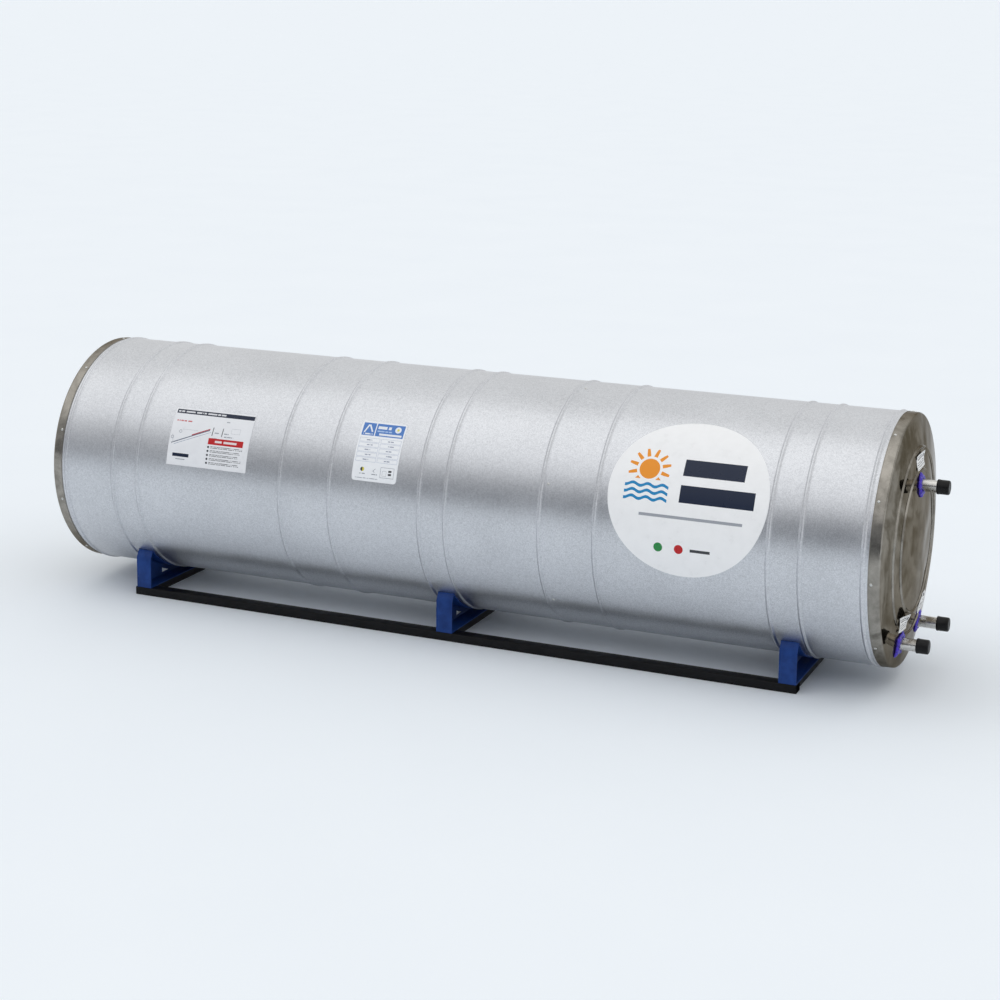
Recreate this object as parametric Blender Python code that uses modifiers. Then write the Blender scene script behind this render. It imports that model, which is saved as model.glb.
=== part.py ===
"""Horizontal storage tank of a solar water heater, with its pipes, heater and steel stand.

X runs along the tank towards the end with the three service pipes, Y runs to the back and
Z is up. The floor is at Z = 0 and the origin is under the middle of the part's box.
Inside the script every piece is placed from the middle of the tank's own axis, and an empty
there carries them all.
"""

from math import cos, hypot, pi, radians, sin, sqrt

import bmesh
import bpy
from mathutils import Matrix

# ---- driving dimensions, in metres -------------------------------------------------------

GAP = 0.0003                    # left between two touching pieces
SHEET = 0.0008                  # jacket and end cap sheet
BODY_FLATS = 32                 # flats around every large turned piece

# jacket
BODY_RADIUS = 0.350
BODY_LENGTH = 2.560             # between the rims of the end caps
BEAD_PAIRS = ((0.0407, -0.0407), (0.490, 0.3275), (1.066, 0.9795))   # from the middle
END_BEAD = 0.0465               # from the rim of the end cap to the last bead
BEAD_HEIGHT = 0.004
BEAD_WIDTH = 0.012
SEAM_X = 0.340                  # edge of the upper sheet, from the middle
LAP = 0.024                     # width of the sheets' overlap
STEP_RUN = 0.002                # length of the ramp where a sheet is set down under another

# end caps
SKIRT = 0.0315
CORNER = 0.006
DOME_RISE = 0.030
RING_RADII = (0.197, 0.257)     # pressed rings on the dome
RING_HEIGHT = 0.0018
RING_WIDTH = 0.010
DOME_STATIONS = (0.100, 0.300)  # further radii where the dome's outline has a point

# inner tank
TANK_RADIUS = 0.285
TANK_WALL = 0.0015
HEAD_DEPTH = 0.080
HEAD_SKIRT = 0.025
END_FOAM = 0.055                # from the rim of the end cap to the crown of the head

# pipes
PIPE_RADIUS = 0.0167            # one inch steel pipe
PIPE_WALL = 0.0020
PIPE_CLEARANCE = 0.0005
PIPE_INTO_TANK = 0.020
HOT_HEIGHT = 0.157              # above the tank's axis
LOW_SIDE = 0.111                # half the distance between the two lower pipes
LOW_DEPTH = 0.260               # below the tank's axis
LOW_INSET = 0.051               # from the inner tank's side to where the lower pipes enter
RETURN_HEIGHT = 0.125
HOT_REACH = 0.1026              # rim of the end cap to the outer end of the pipe's cap
COLD_REACH = 0.100
FEED_REACH = 0.091
RETURN_REACH = 0.079
PLUG_LENGTH = 0.034             # push-on pipe caps
PLUG_WALL = 0.003
PLUG_FLATS = 16                 # flats around the caps, seals and fittings
SEAL_RADIUS = 0.031
SEAL_HEIGHT = 0.006

# heater, thermostat and anode on the other end
HEATER_HEIGHT = -0.105
ANODE_PLACE = (0.150, 0.030)    # Y and Z
WELL_PLACE = (0.030, -0.150)    # Y and Z of the thermostat's pocket
BOSS_WALL = 0.0045
BOSS_STAND = 0.003              # boss beyond the dome
THREAD_CLEARANCE = 0.0004
HEATER_THREAD = 0.0210
ANODE_THREAD = 0.0130
HEX_GRIP = 0.0060               # hexagon's corner beyond the boss
HEX_HEIGHT = 0.010
GASKET = 0.0015
HAIRPIN_SPREAD = 0.011
HAIRPIN_LENGTH = 0.320
HAIRPIN_RADIUS = 0.004
ANODE_ROD_RADIUS = 0.0105
ANODE_ROD_LENGTH = 0.600
WELL_RADIUS = 0.0060
WELL_WALL = 0.0010
WELL_LENGTH = 0.200
PROBE_CLEARANCE = 0.0008
THERMOSTAT_SIZE = (0.022, 0.046, 0.034)
KNOB_RADIUS = 0.013
KNOB_HEIGHT = 0.008
COVER_SIZE = (0.110, 0.150)     # Y and Z
COVER_MIDDLE = (0.008, -0.118)  # Y and Z
COVER_CLEARANCE = 0.0023        # between the dial and the cover
COVER_WALL = 0.0025
GLAND_RADIUS = 0.011
GLAND_LENGTH = 0.018
SCREW_RADIUS = 0.0020
SCREW_HEAD = 0.0040
SCREW_CLEARANCE = 0.0004
SCREW_INTO_FOAM = 0.012

# labels and tags
LABEL = 0.0003
BADGE_RADIUS = 0.2258
BADGE_X, BADGE_ANGLE = 0.7466, 23.2
GUIDE_SIZE = (0.272, 0.176)
GUIDE_X, GUIDE_ANGLE = -0.7396, 23.7
RATING_SIZE = (0.142, 0.178)
RATING_X, RATING_ANGLE = -0.185, 27.1
TAG_SIZE = (0.085, 0.040)
TAG_LIFT = 0.0006               # over the pressed rings

# stand
SADDLE_SPREAD = 1.022           # middle saddle to each outer one
SADDLE_WIDTH = 0.050
SADDLE_FRONT = 0.2545           # from the tank's axis to the front plate
SADDLE_DROP = 0.021             # from the jacket's lowest line to the rails
SADDLE_BEND = 0.0935            # rails to the bend in the front plate
SADDLE_TOP = 0.1170             # rails to the top edge of the front plate
SADDLE_SHEET = 0.003
WINDOW = (0.119, 0.080)         # the web's window, along Y
WINDOW_HEIGHT = 0.015
WINDOW_MARGIN = 0.007
RAIL_DEPTH = 0.040
RAIL_HEIGHT = 0.025
RAIL_WALL = 0.0015
RAIL_OVERHANG = 0.005
BOLT_RADIUS = 0.003
BOLT_HEAD = 0.0058
BOLT_LENGTH = 0.014

# ---- sizes that follow ------------------------------------------------------------------

HALF = BODY_LENGTH / 2
NECK_RADIUS = BODY_RADIUS - SHEET - GAP
FOAM_RADIUS = NECK_RADIUS - SHEET - GAP
FACE_RADIUS = BODY_RADIUS - CORNER
HEAD_START = HALF - END_FOAM - HEAD_DEPTH
HEAD_RADIUS = TANK_RADIUS - TANK_WALL - GAP
CRADLE_RADIUS = BODY_RADIUS + 2 * GAP
AXIS_HEIGHT = RAIL_HEIGHT + GAP + SADDLE_DROP + BODY_RADIUS
SADDLE_PLACES = (-SADDLE_SPREAD, 0.0, SADDLE_SPREAD)


def dome(radius):
    """Height of the dome over the rim."""
    return DOME_RISE * (1 - (radius / FACE_RADIUS) ** 2)


def boss_end(middle):
    """Distance from the tank's middle to the outer end of a boss or pocket on the dome."""
    return HALF + dome(hypot(*middle)) + BOSS_STAND


HEATER_PLACE = (0.0, HEATER_HEIGHT)
HEX_FOOT = GAP + GASKET + GAP                        # from the end of a boss
HEATER_FACE = boss_end(HEATER_PLACE) + HEX_FOOT + HEX_HEIGHT
THERMOSTAT_FOOT = max(HEATER_FACE, boss_end(WELL_PLACE)) + 2 * GAP
DIAL_FOOT = THERMOSTAT_FOOT + THERMOSTAT_SIZE[0] + GAP
COVER_FACE = DIAL_FOOT + KNOB_HEIGHT + COVER_CLEARANCE + COVER_WALL
LEFT_REACH = max(RETURN_REACH, COVER_FACE - HALF + GAP + SCREW_HEAD / 2)
RIGHT_REACH = max(HOT_REACH, COLD_REACH, FEED_REACH)
TANK_X = (LEFT_REACH - RIGHT_REACH) / 2

# ---- scene ------------------------------------------------------------------------------

for leftover in list(bpy.data.objects):
    bpy.data.objects.remove(leftover, do_unlink=True)

parts = bpy.data.collections.new("solar_water_heater")
cutters = bpy.data.collections.new("cutters")
bpy.context.scene.collection.children.link(parts)
bpy.context.scene.collection.children.link(cutters)

datum = bpy.data.objects.new("tank_axis", None)
datum.location = (TANK_X, 0, AXIS_HEIGHT)
parts.objects.link(datum)


def finish_material(name, colour, metallic, roughness):
    """A plain material with one colour."""
    made = bpy.data.materials.new(name)
    made.use_nodes = True
    shader = made.node_tree.nodes["Principled BSDF"]
    shader.inputs["Base Color"].default_value = (*colour, 1)
    shader.inputs["Metallic"].default_value = metallic
    shader.inputs["Roughness"].default_value = roughness
    return made


FINISHES = {
    "coated sheet": ((0.62, 0.64, 0.67), 1.0, 0.38),
    "mirror steel": ((0.70, 0.69, 0.66), 1.0, 0.08),
    "pipe steel": ((0.66, 0.65, 0.63), 1.0, 0.22),
    "foam": ((0.85, 0.74, 0.45), 0.0, 0.90),
    "blue paint": ((0.02, 0.06, 0.28), 0.0, 0.40),
    "black paint": ((0.01, 0.01, 0.012), 0.0, 0.50),
    "sealant": ((0.03, 0.01, 0.45), 0.0, 0.45),
    "black plastic": ((0.015, 0.015, 0.017), 0.0, 0.45),
    "grey plastic": ((0.30, 0.31, 0.33), 0.0, 0.50),
    "brass": ((0.72, 0.52, 0.22), 1.0, 0.30),
    "rubber": ((0.03, 0.03, 0.03), 0.0, 0.80),
    "magnesium": ((0.55, 0.55, 0.56), 1.0, 0.55),
    "label": ((0.90, 0.90, 0.92), 0.0, 0.45),
    "zinc": ((0.60, 0.60, 0.58), 1.0, 0.35),
}


def place(mesh, name, finish=None):
    """An object on the tank's axis: a named piece with its finish, or a cutter."""
    made = bpy.data.objects.new(name, mesh)
    made.parent = datum
    if finish is None:
        cutters.objects.link(made)
        made.hide_render = True
        made.display_type = "WIRE"
    else:
        parts.objects.link(made)
        mesh.materials.clear()
        mesh.materials.append(finish_material(name, *FINISHES[finish]))
    return made


def mesh_from(build):
    """A mesh filled by a function that works on a bmesh."""
    work = bmesh.new()
    build(work)
    mesh = bpy.data.meshes.new("shape")
    work.to_mesh(mesh)
    work.free()
    return mesh


def box(low, high, name, finish=None):
    """A box between two corners."""
    size = [b - a for a, b in zip(low, high)]
    middle = [(a + b) / 2 for a, b in zip(low, high)]
    at = Matrix.Translation(middle) @ Matrix.Diagonal((*size, 1))
    return place(mesh_from(lambda work: bmesh.ops.create_cube(work, size=1, matrix=at)), name, finish)


def rod(x0, x1, y, z, radius, name, finish=None, flats=16, tip=None):
    """A round bar or a cone along X."""
    start, end = sorted((x0, x1))
    turn = Matrix.Rotation(radians(90), 4, "Y")
    at = Matrix.Translation(((start + end) / 2, y, z)) @ turn
    tip = radius if tip is None else tip

    def build(work):
        bmesh.ops.create_cone(work, cap_ends=True, segments=flats, radius1=radius, radius2=tip,
                              depth=end - start, matrix=at)

    return place(mesh_from(build), name, finish)


def turned(outline, name, finish=None, side=1, middle=(0, 0), flats=BODY_FLATS, closed=True):
    """A turned piece about an axis along X.

    The outline holds (distance along X, radius) points that run down the outer side from
    the +X end. With side -1 the piece is turned round to face -X.
    """
    mesh = bpy.data.meshes.new("outline")
    points = [(radius, 0, along) for along, radius in outline]
    edges = [(i, i + 1) for i in range(len(points) - 1)]
    if closed:
        edges.append((len(points) - 1, 0))
    mesh.from_pydata(points, edges, [])
    made = place(mesh, name, finish)
    made.location = (0, *middle)
    made.rotation_euler = (0, radians(90 * side), 0)
    screw = made.modifiers.new("turn", "SCREW")
    screw.steps = screw.render_steps = flats
    screw.use_merge_vertices = True
    screw.merge_threshold = 0.00001
    return made


def plate(outline, x0, x1, name, finish=None):
    """A flat outline in Y and Z, thick from x0 to x1."""
    curve = bpy.data.curves.new("outline", "CURVE")
    curve.dimensions = "2D"
    curve.fill_mode = "BOTH"
    curve.extrude = (x1 - x0) / 2
    line = curve.splines.new("POLY")
    line.points.add(len(outline) - 1)
    for point, (y, z) in zip(line.points, outline):
        point.co = (y, z, 0, 1)
    line.use_cyclic_u = True
    mesh = mesh_of_curve(curve)
    upright = Matrix(((0, 0, 1, 0), (1, 0, 0, 0), (0, 1, 0, 0), (0, 0, 0, 1)))
    mesh.transform(Matrix.Translation(((x0 + x1) / 2, 0, 0)) @ upright)
    return place(mesh, name, finish)


def mesh_of_curve(curve):
    """The closed mesh of a curve, with its caps welded on."""
    holder = bpy.data.objects.new("curve", curve)
    cutters.objects.link(holder)
    graph = bpy.context.evaluated_depsgraph_get()
    mesh = bpy.data.meshes.new_from_object(holder.evaluated_get(graph))
    bpy.data.objects.remove(holder)
    work = bmesh.new()
    work.from_mesh(mesh)
    bmesh.ops.remove_doubles(work, verts=work.verts, dist=0.00001)
    work.to_mesh(mesh)
    work.free()
    return mesh


def tube(points, radius, name, finish=None, wall=None, roundness=4):
    """A bar along a line of points, or a pipe if it has a wall."""
    curve = bpy.data.curves.new("route", "CURVE")
    curve.dimensions = "3D"
    curve.bevel_depth = radius
    curve.bevel_resolution = roundness
    curve.use_fill_caps = wall is None
    line = curve.splines.new("POLY")
    line.points.add(len(points) - 1)
    for point, place_on_line in zip(line.points, points):
        point.co = (*place_on_line, 1)
    made = place(mesh_of_curve(curve), name, finish)
    if wall is not None:
        shell = made.modifiers.new("wall", "SOLIDIFY")
        shell.thickness = wall
        shell.offset = -1
    return made


def combine(piece, operation, *others):
    """Cut a piece with others, or join them to it."""
    for other in others:
        step = piece.modifiers.new(other.name, "BOOLEAN")
        step.operation = operation
        step.solver = "EXACT"
        step.object = other


def around(radius, clearance, flats):
    """Radius of a hole with flat sides that clears a round piece inside it."""
    return (radius + clearance) / cos(pi / flats)


# ---- jacket -----------------------------------------------------------------------------

def bead(middle):
    """A rolled bead, from its +X foot to its -X foot."""
    half = BEAD_WIDTH / 2
    return [(middle + half, BODY_RADIUS), (middle, BODY_RADIUS + BEAD_HEIGHT),
            (middle - half, BODY_RADIUS)]


def jacket_sheet(name, low, high, low_neck, high_neck, beads):
    """A rolled sheet whose ends may be set down by a neck under the next piece."""
    outer = [(high, NECK_RADIUS if high_neck else BODY_RADIUS)]
    inner = [(low, outer_low := (NECK_RADIUS if low_neck else BODY_RADIUS) - SHEET)]
    if high_neck:
        outer += [(high_neck, NECK_RADIUS), (high_neck - STEP_RUN, BODY_RADIUS)]
    for middle in sorted(beads, reverse=True):
        outer += bead(middle)
    if low_neck:
        outer += [(low_neck + STEP_RUN, BODY_RADIUS), (low_neck, NECK_RADIUS)]
        inner += [(low_neck, outer_low), (low_neck + STEP_RUN, BODY_RADIUS - SHEET)]
    outer.append((low, NECK_RADIUS if low_neck else BODY_RADIUS))
    if high_neck:
        inner += [(high_neck - STEP_RUN, BODY_RADIUS - SHEET), (high_neck, NECK_RADIUS - SHEET)]
    inner.append((high, outer[0][1] - SHEET))
    return turned(outer + inner, name, "coated sheet")


sheet_end = HALF - CORNER - 2 * GAP
skirt_edge = HALF - SKIRT - GAP
bead_places = [side * x for pair in BEAD_PAIRS for x in pair for side in (1, -1)]
bead_places = sorted({round(x, 4) for x in bead_places} | {HALF - END_BEAD, END_BEAD - HALF})

jacket_sheet("jacket_long_sheet", -sheet_end, SEAM_X + LAP, -skirt_edge, SEAM_X - GAP,
             [x for x in bead_places if x < SEAM_X])
jacket_sheet("jacket_short_sheet", SEAM_X, sheet_end, None, skirt_edge,
             [x for x in bead_places if x > SEAM_X])


# ---- end caps ---------------------------------------------------------------------------

def dome_outline(shift, rings):
    """The dome from its crown to the corner, moved out by a shift, with or without rings."""
    points = [(0.0, 0.0)] + [(radius, 0.0) for radius in DOME_STATIONS] + [(FACE_RADIUS, 0.0)]
    for radius in RING_RADII:
        points.append((radius, RING_HEIGHT if rings else 0.0))
        if rings:
            points += [(radius - RING_WIDTH / 2, 0.0), (radius + RING_WIDTH / 2, 0.0)]
    return [(dome(radius) + height + shift, radius) for radius, height in sorted(points)]


def end_cap(name, side):
    """A pressed cap: dome, rounded corner and skirt."""
    slant = CORNER * sin(radians(45))
    inner_slant = (CORNER - SHEET) * sin(radians(45))
    outside = dome_outline(0, True) + [
        (slant - CORNER, FACE_RADIUS + slant), (-CORNER, BODY_RADIUS), (-SKIRT, BODY_RADIUS)]
    inside = dome_outline(-SHEET, False) + [
        (inner_slant - CORNER, FACE_RADIUS + inner_slant), (-CORNER, BODY_RADIUS - SHEET),
        (-SKIRT, BODY_RADIUS - SHEET)]
    outline = [(HALF + along, radius) for along, radius in outside + inside[::-1]]
    return turned(outline, name, "mirror steel", side, closed=False)


right_cap = end_cap("end_cap_pipes", 1)
left_cap = end_cap("end_cap_heater", -1)


def dome_block(name, side):
    """Everything inside the outer face of an end cap, for cutting what sits on it."""
    outline = dome_outline(GAP, True) + [(-SKIRT, FACE_RADIUS), (-SKIRT, 0.0)]
    outline = [(HALF + along, radius) for along, radius in outline]
    return turned(outline, name, None, side, closed=False)


right_dome = dome_block("dome_block_pipes", 1)
left_dome = dome_block("dome_block_heater", -1)

# ---- inner tank -------------------------------------------------------------------------

HEAD_ANGLES = [radians(22.5 * step) for step in range(5)]


def head_outline(radius, depth):
    """Half an ellipse from the crown to the head's edge."""
    return [(HEAD_START + depth * cos(angle), radius * sin(angle)) for angle in HEAD_ANGLES]


def head_reach(radius, head_radius=HEAD_RADIUS):
    """X of the head's outside at a radius."""
    return HEAD_START + HEAD_DEPTH * sqrt(1 - (radius / head_radius) ** 2)


def tank_head(name, side):
    """A dished head whose skirt sits inside the shell."""
    outside = head_outline(HEAD_RADIUS, HEAD_DEPTH) + [(HEAD_START - HEAD_SKIRT, HEAD_RADIUS)]
    thin = HEAD_RADIUS - TANK_WALL
    inside = head_outline(thin, HEAD_DEPTH - TANK_WALL) + [(HEAD_START - HEAD_SKIRT, thin)]
    return turned(outside + inside[::-1], name, "pipe steel", side, closed=False)


tank_shell = turned([(HEAD_START, TANK_RADIUS), (-HEAD_START, TANK_RADIUS),
                     (-HEAD_START, TANK_RADIUS - TANK_WALL), (HEAD_START, TANK_RADIUS - TANK_WALL)],
                    "tank_shell", "pipe steel")
right_head = tank_head("tank_head_pipes", 1)
left_head = tank_head("tank_head_heater", -1)

# ---- foam -------------------------------------------------------------------------------

foam_corner = CORNER + 2 * GAP
foam_half = [(HALF + along, radius) for along, radius in dome_outline(-SHEET - GAP, False)]
foam_half.append((HALF - foam_corner, FOAM_RADIUS))
foam = turned(foam_half + [(-along, radius) for along, radius in reversed(foam_half)],
              "insulation", "foam", closed=False)

cavity_half = head_outline(TANK_RADIUS + GAP, HEAD_DEPTH + GAP)
cavity = turned(cavity_half + [(-along, radius) for along, radius in reversed(cavity_half)],
                "tank_cavity", closed=False)
combine(foam, "DIFFERENCE", cavity)

# ---- pipes, their caps and seals --------------------------------------------------------

BEND_STEPS = 10
BEND_LEAD = 0.003               # straight start of a bent pipe, welded to its spigot
SPIGOT_FOOT = HALF - SHEET


def pipe_route(place_outside, place_inside, end, side):
    """From the pipe's outer end, straight through the end cap, then over to its head hole."""
    radius_inside = hypot(*place_inside)
    head = head_reach(radius_inside + PIPE_RADIUS)
    bend_start, bend_end = SPIGOT_FOOT - GAP - BEND_LEAD, head + PIPE_RADIUS / 2
    points = [(side * end, *place_outside)]
    if place_inside != place_outside:
        for step in range(BEND_STEPS + 1):
            share = step / BEND_STEPS
            blend = share * share * (3 - 2 * share)
            at = [a + (b - a) * blend for a, b in zip(place_outside, place_inside)]
            points.append((side * (bend_start + (bend_end - bend_start) * share), *at))
    points.append((side * (head - PIPE_INTO_TANK), *place_inside))
    return points


def service_pipe(name, place_outside, reach, side, place_inside=None):
    """A pipe through the foam with its push-on cap and a ring of sealant on the dome.

    A pipe that has to move over to reach the tank is a straight spigot and a bend.
    """
    place_inside = place_inside or place_outside
    pipe_end = HALF + reach - PLUG_WALL - GAP
    route = pipe_route(place_outside, place_inside, pipe_end, side)
    if place_inside == place_outside:
        tube(route, PIPE_RADIUS, name, "pipe steel", wall=PIPE_WALL)
    else:
        spigot = [route[0], (side * SPIGOT_FOOT, *place_outside)]
        bend = [(side * (SPIGOT_FOOT - GAP), *place_outside), *route[1:]]
        tube(spigot, PIPE_RADIUS, name, "pipe steel", wall=PIPE_WALL)
        tube(bend, PIPE_RADIUS, name + "_bend", "pipe steel", wall=PIPE_WALL)
    longer = [(route[0][0] + side * PLUG_WALL, *route[0][1:]), *route[1:]]
    hole = tube(longer, PIPE_RADIUS + PIPE_CLEARANCE, name + "_hole")
    cap, block, head = ((right_cap, right_dome, right_head) if side > 0
                        else (left_cap, left_dome, left_head))
    for piece in (cap, foam, head):
        combine(piece, "DIFFERENCE", hole)

    foot = HALF + dome(hypot(*place_outside))
    slope = 2 * DOME_RISE * hypot(*place_outside) / FACE_RADIUS ** 2
    under = foot - slope * SEAL_RADIUS
    top = foot + SEAL_HEIGHT
    bore = PIPE_RADIUS + PIPE_CLEARANCE
    bevel = SEAL_HEIGHT / 2
    seal = turned([(top, bore), (top, SEAL_RADIUS - 2 * bevel), (top - bevel, SEAL_RADIUS - bevel / 2),
                   (top - 2 * bevel, SEAL_RADIUS), (under, SEAL_RADIUS), (under, bore)],
                  name + "_seal", "sealant", side, place_outside, PLUG_FLATS)
    combine(seal, "DIFFERENCE", block)

    outer_end = HALF + reach
    socket = around(PIPE_RADIUS, GAP / 2, PLUG_FLATS)
    skin = socket + PLUG_WALL
    edge = PLUG_WALL / 2
    plug = turned([(outer_end, 0.0), (outer_end, skin - edge), (outer_end - edge, skin),
                   (outer_end - PLUG_LENGTH, skin), (outer_end - PLUG_LENGTH, socket),
                   (outer_end - PLUG_WALL, socket), (outer_end - PLUG_WALL, 0.0)],
                  name + "_cap", "black plastic", side, place_outside, PLUG_FLATS, closed=False)
    return plug


low_inside = (TANK_RADIUS - LOW_INSET) / hypot(LOW_SIDE, LOW_DEPTH)
service_pipe("hot_outlet", (0, HOT_HEIGHT), HOT_REACH, 1)
service_pipe("cold_inlet", (LOW_SIDE, -LOW_DEPTH), COLD_REACH, 1,
             (LOW_SIDE * low_inside, -LOW_DEPTH * low_inside))
service_pipe("collector_feed", (-LOW_SIDE, -LOW_DEPTH), FEED_REACH, 1,
             (-LOW_SIDE * low_inside, -LOW_DEPTH * low_inside))
service_pipe("collector_return", (0, RETURN_HEIGHT), RETURN_REACH, -1)

# ---- screwed fittings on the heater end -------------------------------------------------


def fitting(name, middle, thread, plug_finish):
    """A boss welded through the head, a hexagon plug screwed into it and its gasket."""
    y, z = middle
    radius = hypot(y, z)
    bore = around(thread, THREAD_CLEARANCE, PLUG_FLATS)
    outside = bore + BOSS_WALL
    inner_end = head_reach(radius + outside) - PIPE_INTO_TANK
    outer_end = boss_end(middle)
    turned([(outer_end, outside), (inner_end, outside), (inner_end, bore), (outer_end, bore)],
           name + "_boss", "pipe steel", -1, middle, PLUG_FLATS)
    hole = rod(-inner_end, -outer_end - BOSS_STAND, y, z,
               around(outside, PIPE_CLEARANCE, PLUG_FLATS), name + "_boss_hole", flats=PLUG_FLATS)
    for piece in (left_cap, foam, left_head):
        combine(piece, "DIFFERENCE", hole)
    seat = outer_end + GAP
    turned([(seat + GASKET, outside), (seat, outside), (seat, bore), (seat + GASKET, bore)],
           name + "_gasket", "rubber", -1, middle, PLUG_FLATS)
    hex_foot = outer_end + HEX_FOOT
    plug = rod(-hex_foot, -hex_foot - HEX_HEIGHT, y, z, outside + HEX_GRIP, name + "_plug",
               plug_finish, flats=6)
    shank = rod(-inner_end, -hex_foot - HEX_HEIGHT / 2, y, z, thread, name + "_thread", flats=16)
    combine(plug, "UNION", shank)
    return inner_end


heater_inner = fitting("heater", HEATER_PLACE, HEATER_THREAD, "brass")
anode_inner = fitting("anode", ANODE_PLACE, ANODE_THREAD, "brass")

# heating element: a hairpin whose legs stand on the plug
hairpin_start = -heater_inner + GAP
hairpin_bend = hairpin_start + HAIRPIN_LENGTH
hairpin = [(hairpin_start, HAIRPIN_SPREAD, HEATER_HEIGHT)]
for step in range(9):
    angle = radians(90 - 22.5 * step)
    hairpin.append((hairpin_bend + HAIRPIN_SPREAD * cos(angle), HAIRPIN_SPREAD * sin(angle),
                    HEATER_HEIGHT))
hairpin.append((hairpin_start, -HAIRPIN_SPREAD, HEATER_HEIGHT))
tube(hairpin, HAIRPIN_RADIUS, "heating_element", "pipe steel", roundness=2)

anode_start = -anode_inner + GAP
rod(anode_start, anode_start + ANODE_ROD_LENGTH, *ANODE_PLACE, ANODE_ROD_RADIUS, "anode_rod",
    "magnesium")

# thermostat: a probe in a closed pocket, a body outside and a dial on it
well_y, well_z = WELL_PLACE
well_outer = boss_end(WELL_PLACE)
well_inner = well_outer - WELL_LENGTH
well_bore = WELL_RADIUS - WELL_WALL
turned([(well_outer, WELL_RADIUS), (well_inner, WELL_RADIUS), (well_inner, 0.0),
        (well_inner + WELL_WALL, 0.0), (well_inner + WELL_WALL, well_bore), (well_outer, well_bore),
        (well_outer, WELL_RADIUS)],
       "thermostat_pocket", "pipe steel", -1, WELL_PLACE, PLUG_FLATS, closed=False)
well_hole = rod(-well_inner, -well_outer - BOSS_STAND, well_y, well_z,
                around(WELL_RADIUS, PIPE_CLEARANCE, PLUG_FLATS), "pocket_hole", flats=PLUG_FLATS)
for crossed in (left_cap, foam, left_head):
    combine(crossed, "DIFFERENCE", well_hole)

body_depth, body_width, body_tall = THERMOSTAT_SIZE
rod(-well_inner - 2 * WELL_WALL, GAP - THERMOSTAT_FOOT, well_y, well_z, well_bore - PROBE_CLEARANCE,
    "thermostat_probe", "pipe steel")
body_low = well_z - body_tall / 2
box((-THERMOSTAT_FOOT - body_depth, -body_width / 2, body_low),
    (-THERMOSTAT_FOOT, body_width / 2 + well_y - WELL_RADIUS, body_low + body_tall),
    "thermostat_body", "grey plastic")
knob = rod(0, -KNOB_HEIGHT, 0, 0, KNOB_RADIUS, "thermostat_dial", "black plastic", flats=24,
           tip=KNOB_RADIUS * 0.9)
knob.location = (-DIAL_FOOT, 0, well_z)

# cover over the heater's terminals
cover_y, cover_z = COVER_MIDDLE
half_y, half_z = COVER_SIZE[0] / 2, COVER_SIZE[1] / 2
cover = box((-COVER_FACE, cover_y - half_y, cover_z - half_z),
            (-HALF, cover_y + half_y, cover_z + half_z), "heater_cover", "black plastic")
hollow = box((COVER_WALL - COVER_FACE, cover_y - half_y + COVER_WALL, cover_z - half_z + COVER_WALL),
             (COVER_WALL - HALF, cover_y + half_y - COVER_WALL, cover_z + half_z - COVER_WALL),
             "cover_hollow")
combine(cover, "DIFFERENCE", hollow, left_dome)

for label, sign in (("upper", 1), ("lower", -1)):
    post_y = cover_y + sign * (half_y - 3 * COVER_WALL)
    post_z = cover_z + sign * (half_z - 3 * COVER_WALL)
    tip = HALF - SCREW_INTO_FOAM
    head = rod(-COVER_FACE - GAP, -COVER_FACE - GAP - SCREW_HEAD / 2, post_y, post_z, SCREW_HEAD,
               "cover_screw_" + label, "zinc")
    shank = rod(-tip, -COVER_FACE - GAP - SCREW_HEAD / 4, post_y, post_z, SCREW_RADIUS,
                "cover_screw_shank_" + label, flats=12)
    combine(head, "UNION", shank)
    screw_hole = rod(GAP - tip, -COVER_FACE - SCREW_HEAD, post_y, post_z,
                     around(SCREW_RADIUS, SCREW_CLEARANCE, 12), "cover_screw_hole_" + label, flats=12)
    for crossed in (cover, left_cap, foam):
        combine(crossed, "DIFFERENCE", screw_hole)

gland_x = -(HALF + DOME_RISE + COVER_FACE) / 2
gland = turned([(GLAND_LENGTH, GLAND_RADIUS * 0.45), (GLAND_LENGTH, GLAND_RADIUS * 0.75),
                (0, GLAND_RADIUS), (0, GLAND_RADIUS * 0.45)],
               "cable_gland", "black plastic", 1, (0, 0), PLUG_FLATS)
gland.rotation_euler = (0, radians(180), 0)
gland.location = (gland_x, cover_y, cover_z - half_z - GAP)
gland_hole = place(mesh_from(lambda work: bmesh.ops.create_cone(
    work, cap_ends=True, segments=PLUG_FLATS, radius1=GLAND_RADIUS * 0.45,
    radius2=GLAND_RADIUS * 0.45, depth=4 * COVER_WALL)), "gland_hole")
gland_hole.location = (gland_x, cover_y, cover_z - half_z)
combine(cover, "DIFFERENCE", gland_hole)


# ---- labels and tags --------------------------------------------------------------------

def label(name, x, angle, cutter):
    """A sticker on the jacket: a thin band cut to the label's outline, seen square on."""
    reach = BADGE_RADIUS + LABEL
    lift = BODY_RADIUS + GAP
    band = turned([(x + reach, lift + LABEL), (x - reach, lift + LABEL), (x - reach, lift),
                   (x + reach, lift)], name, "label")
    cutter.location = (x, 0, 0)
    cutter.rotation_euler = (-radians(angle), 0, 0)
    combine(band, "INTERSECT", cutter)
    return band


def outline_prism(width, height, name, round_shape=False):
    """A block from the axis out to the front that shapes a label."""
    far = BODY_RADIUS * 1.2
    if round_shape:
        at = Matrix.Translation((0, -far / 2, 0)) @ Matrix.Rotation(radians(90), 4, "X")
        return place(mesh_from(lambda work: bmesh.ops.create_cone(
            work, cap_ends=True, segments=48, radius1=width / 2, radius2=width / 2, depth=far,
            matrix=at)), name)
    return box((-width / 2, -far, -height / 2), (width / 2, 0, height / 2), name)


def straight(arc):
    """Width seen square on of an arc on the jacket."""
    return 2 * BODY_RADIUS * sin(arc / (2 * BODY_RADIUS))


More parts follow.
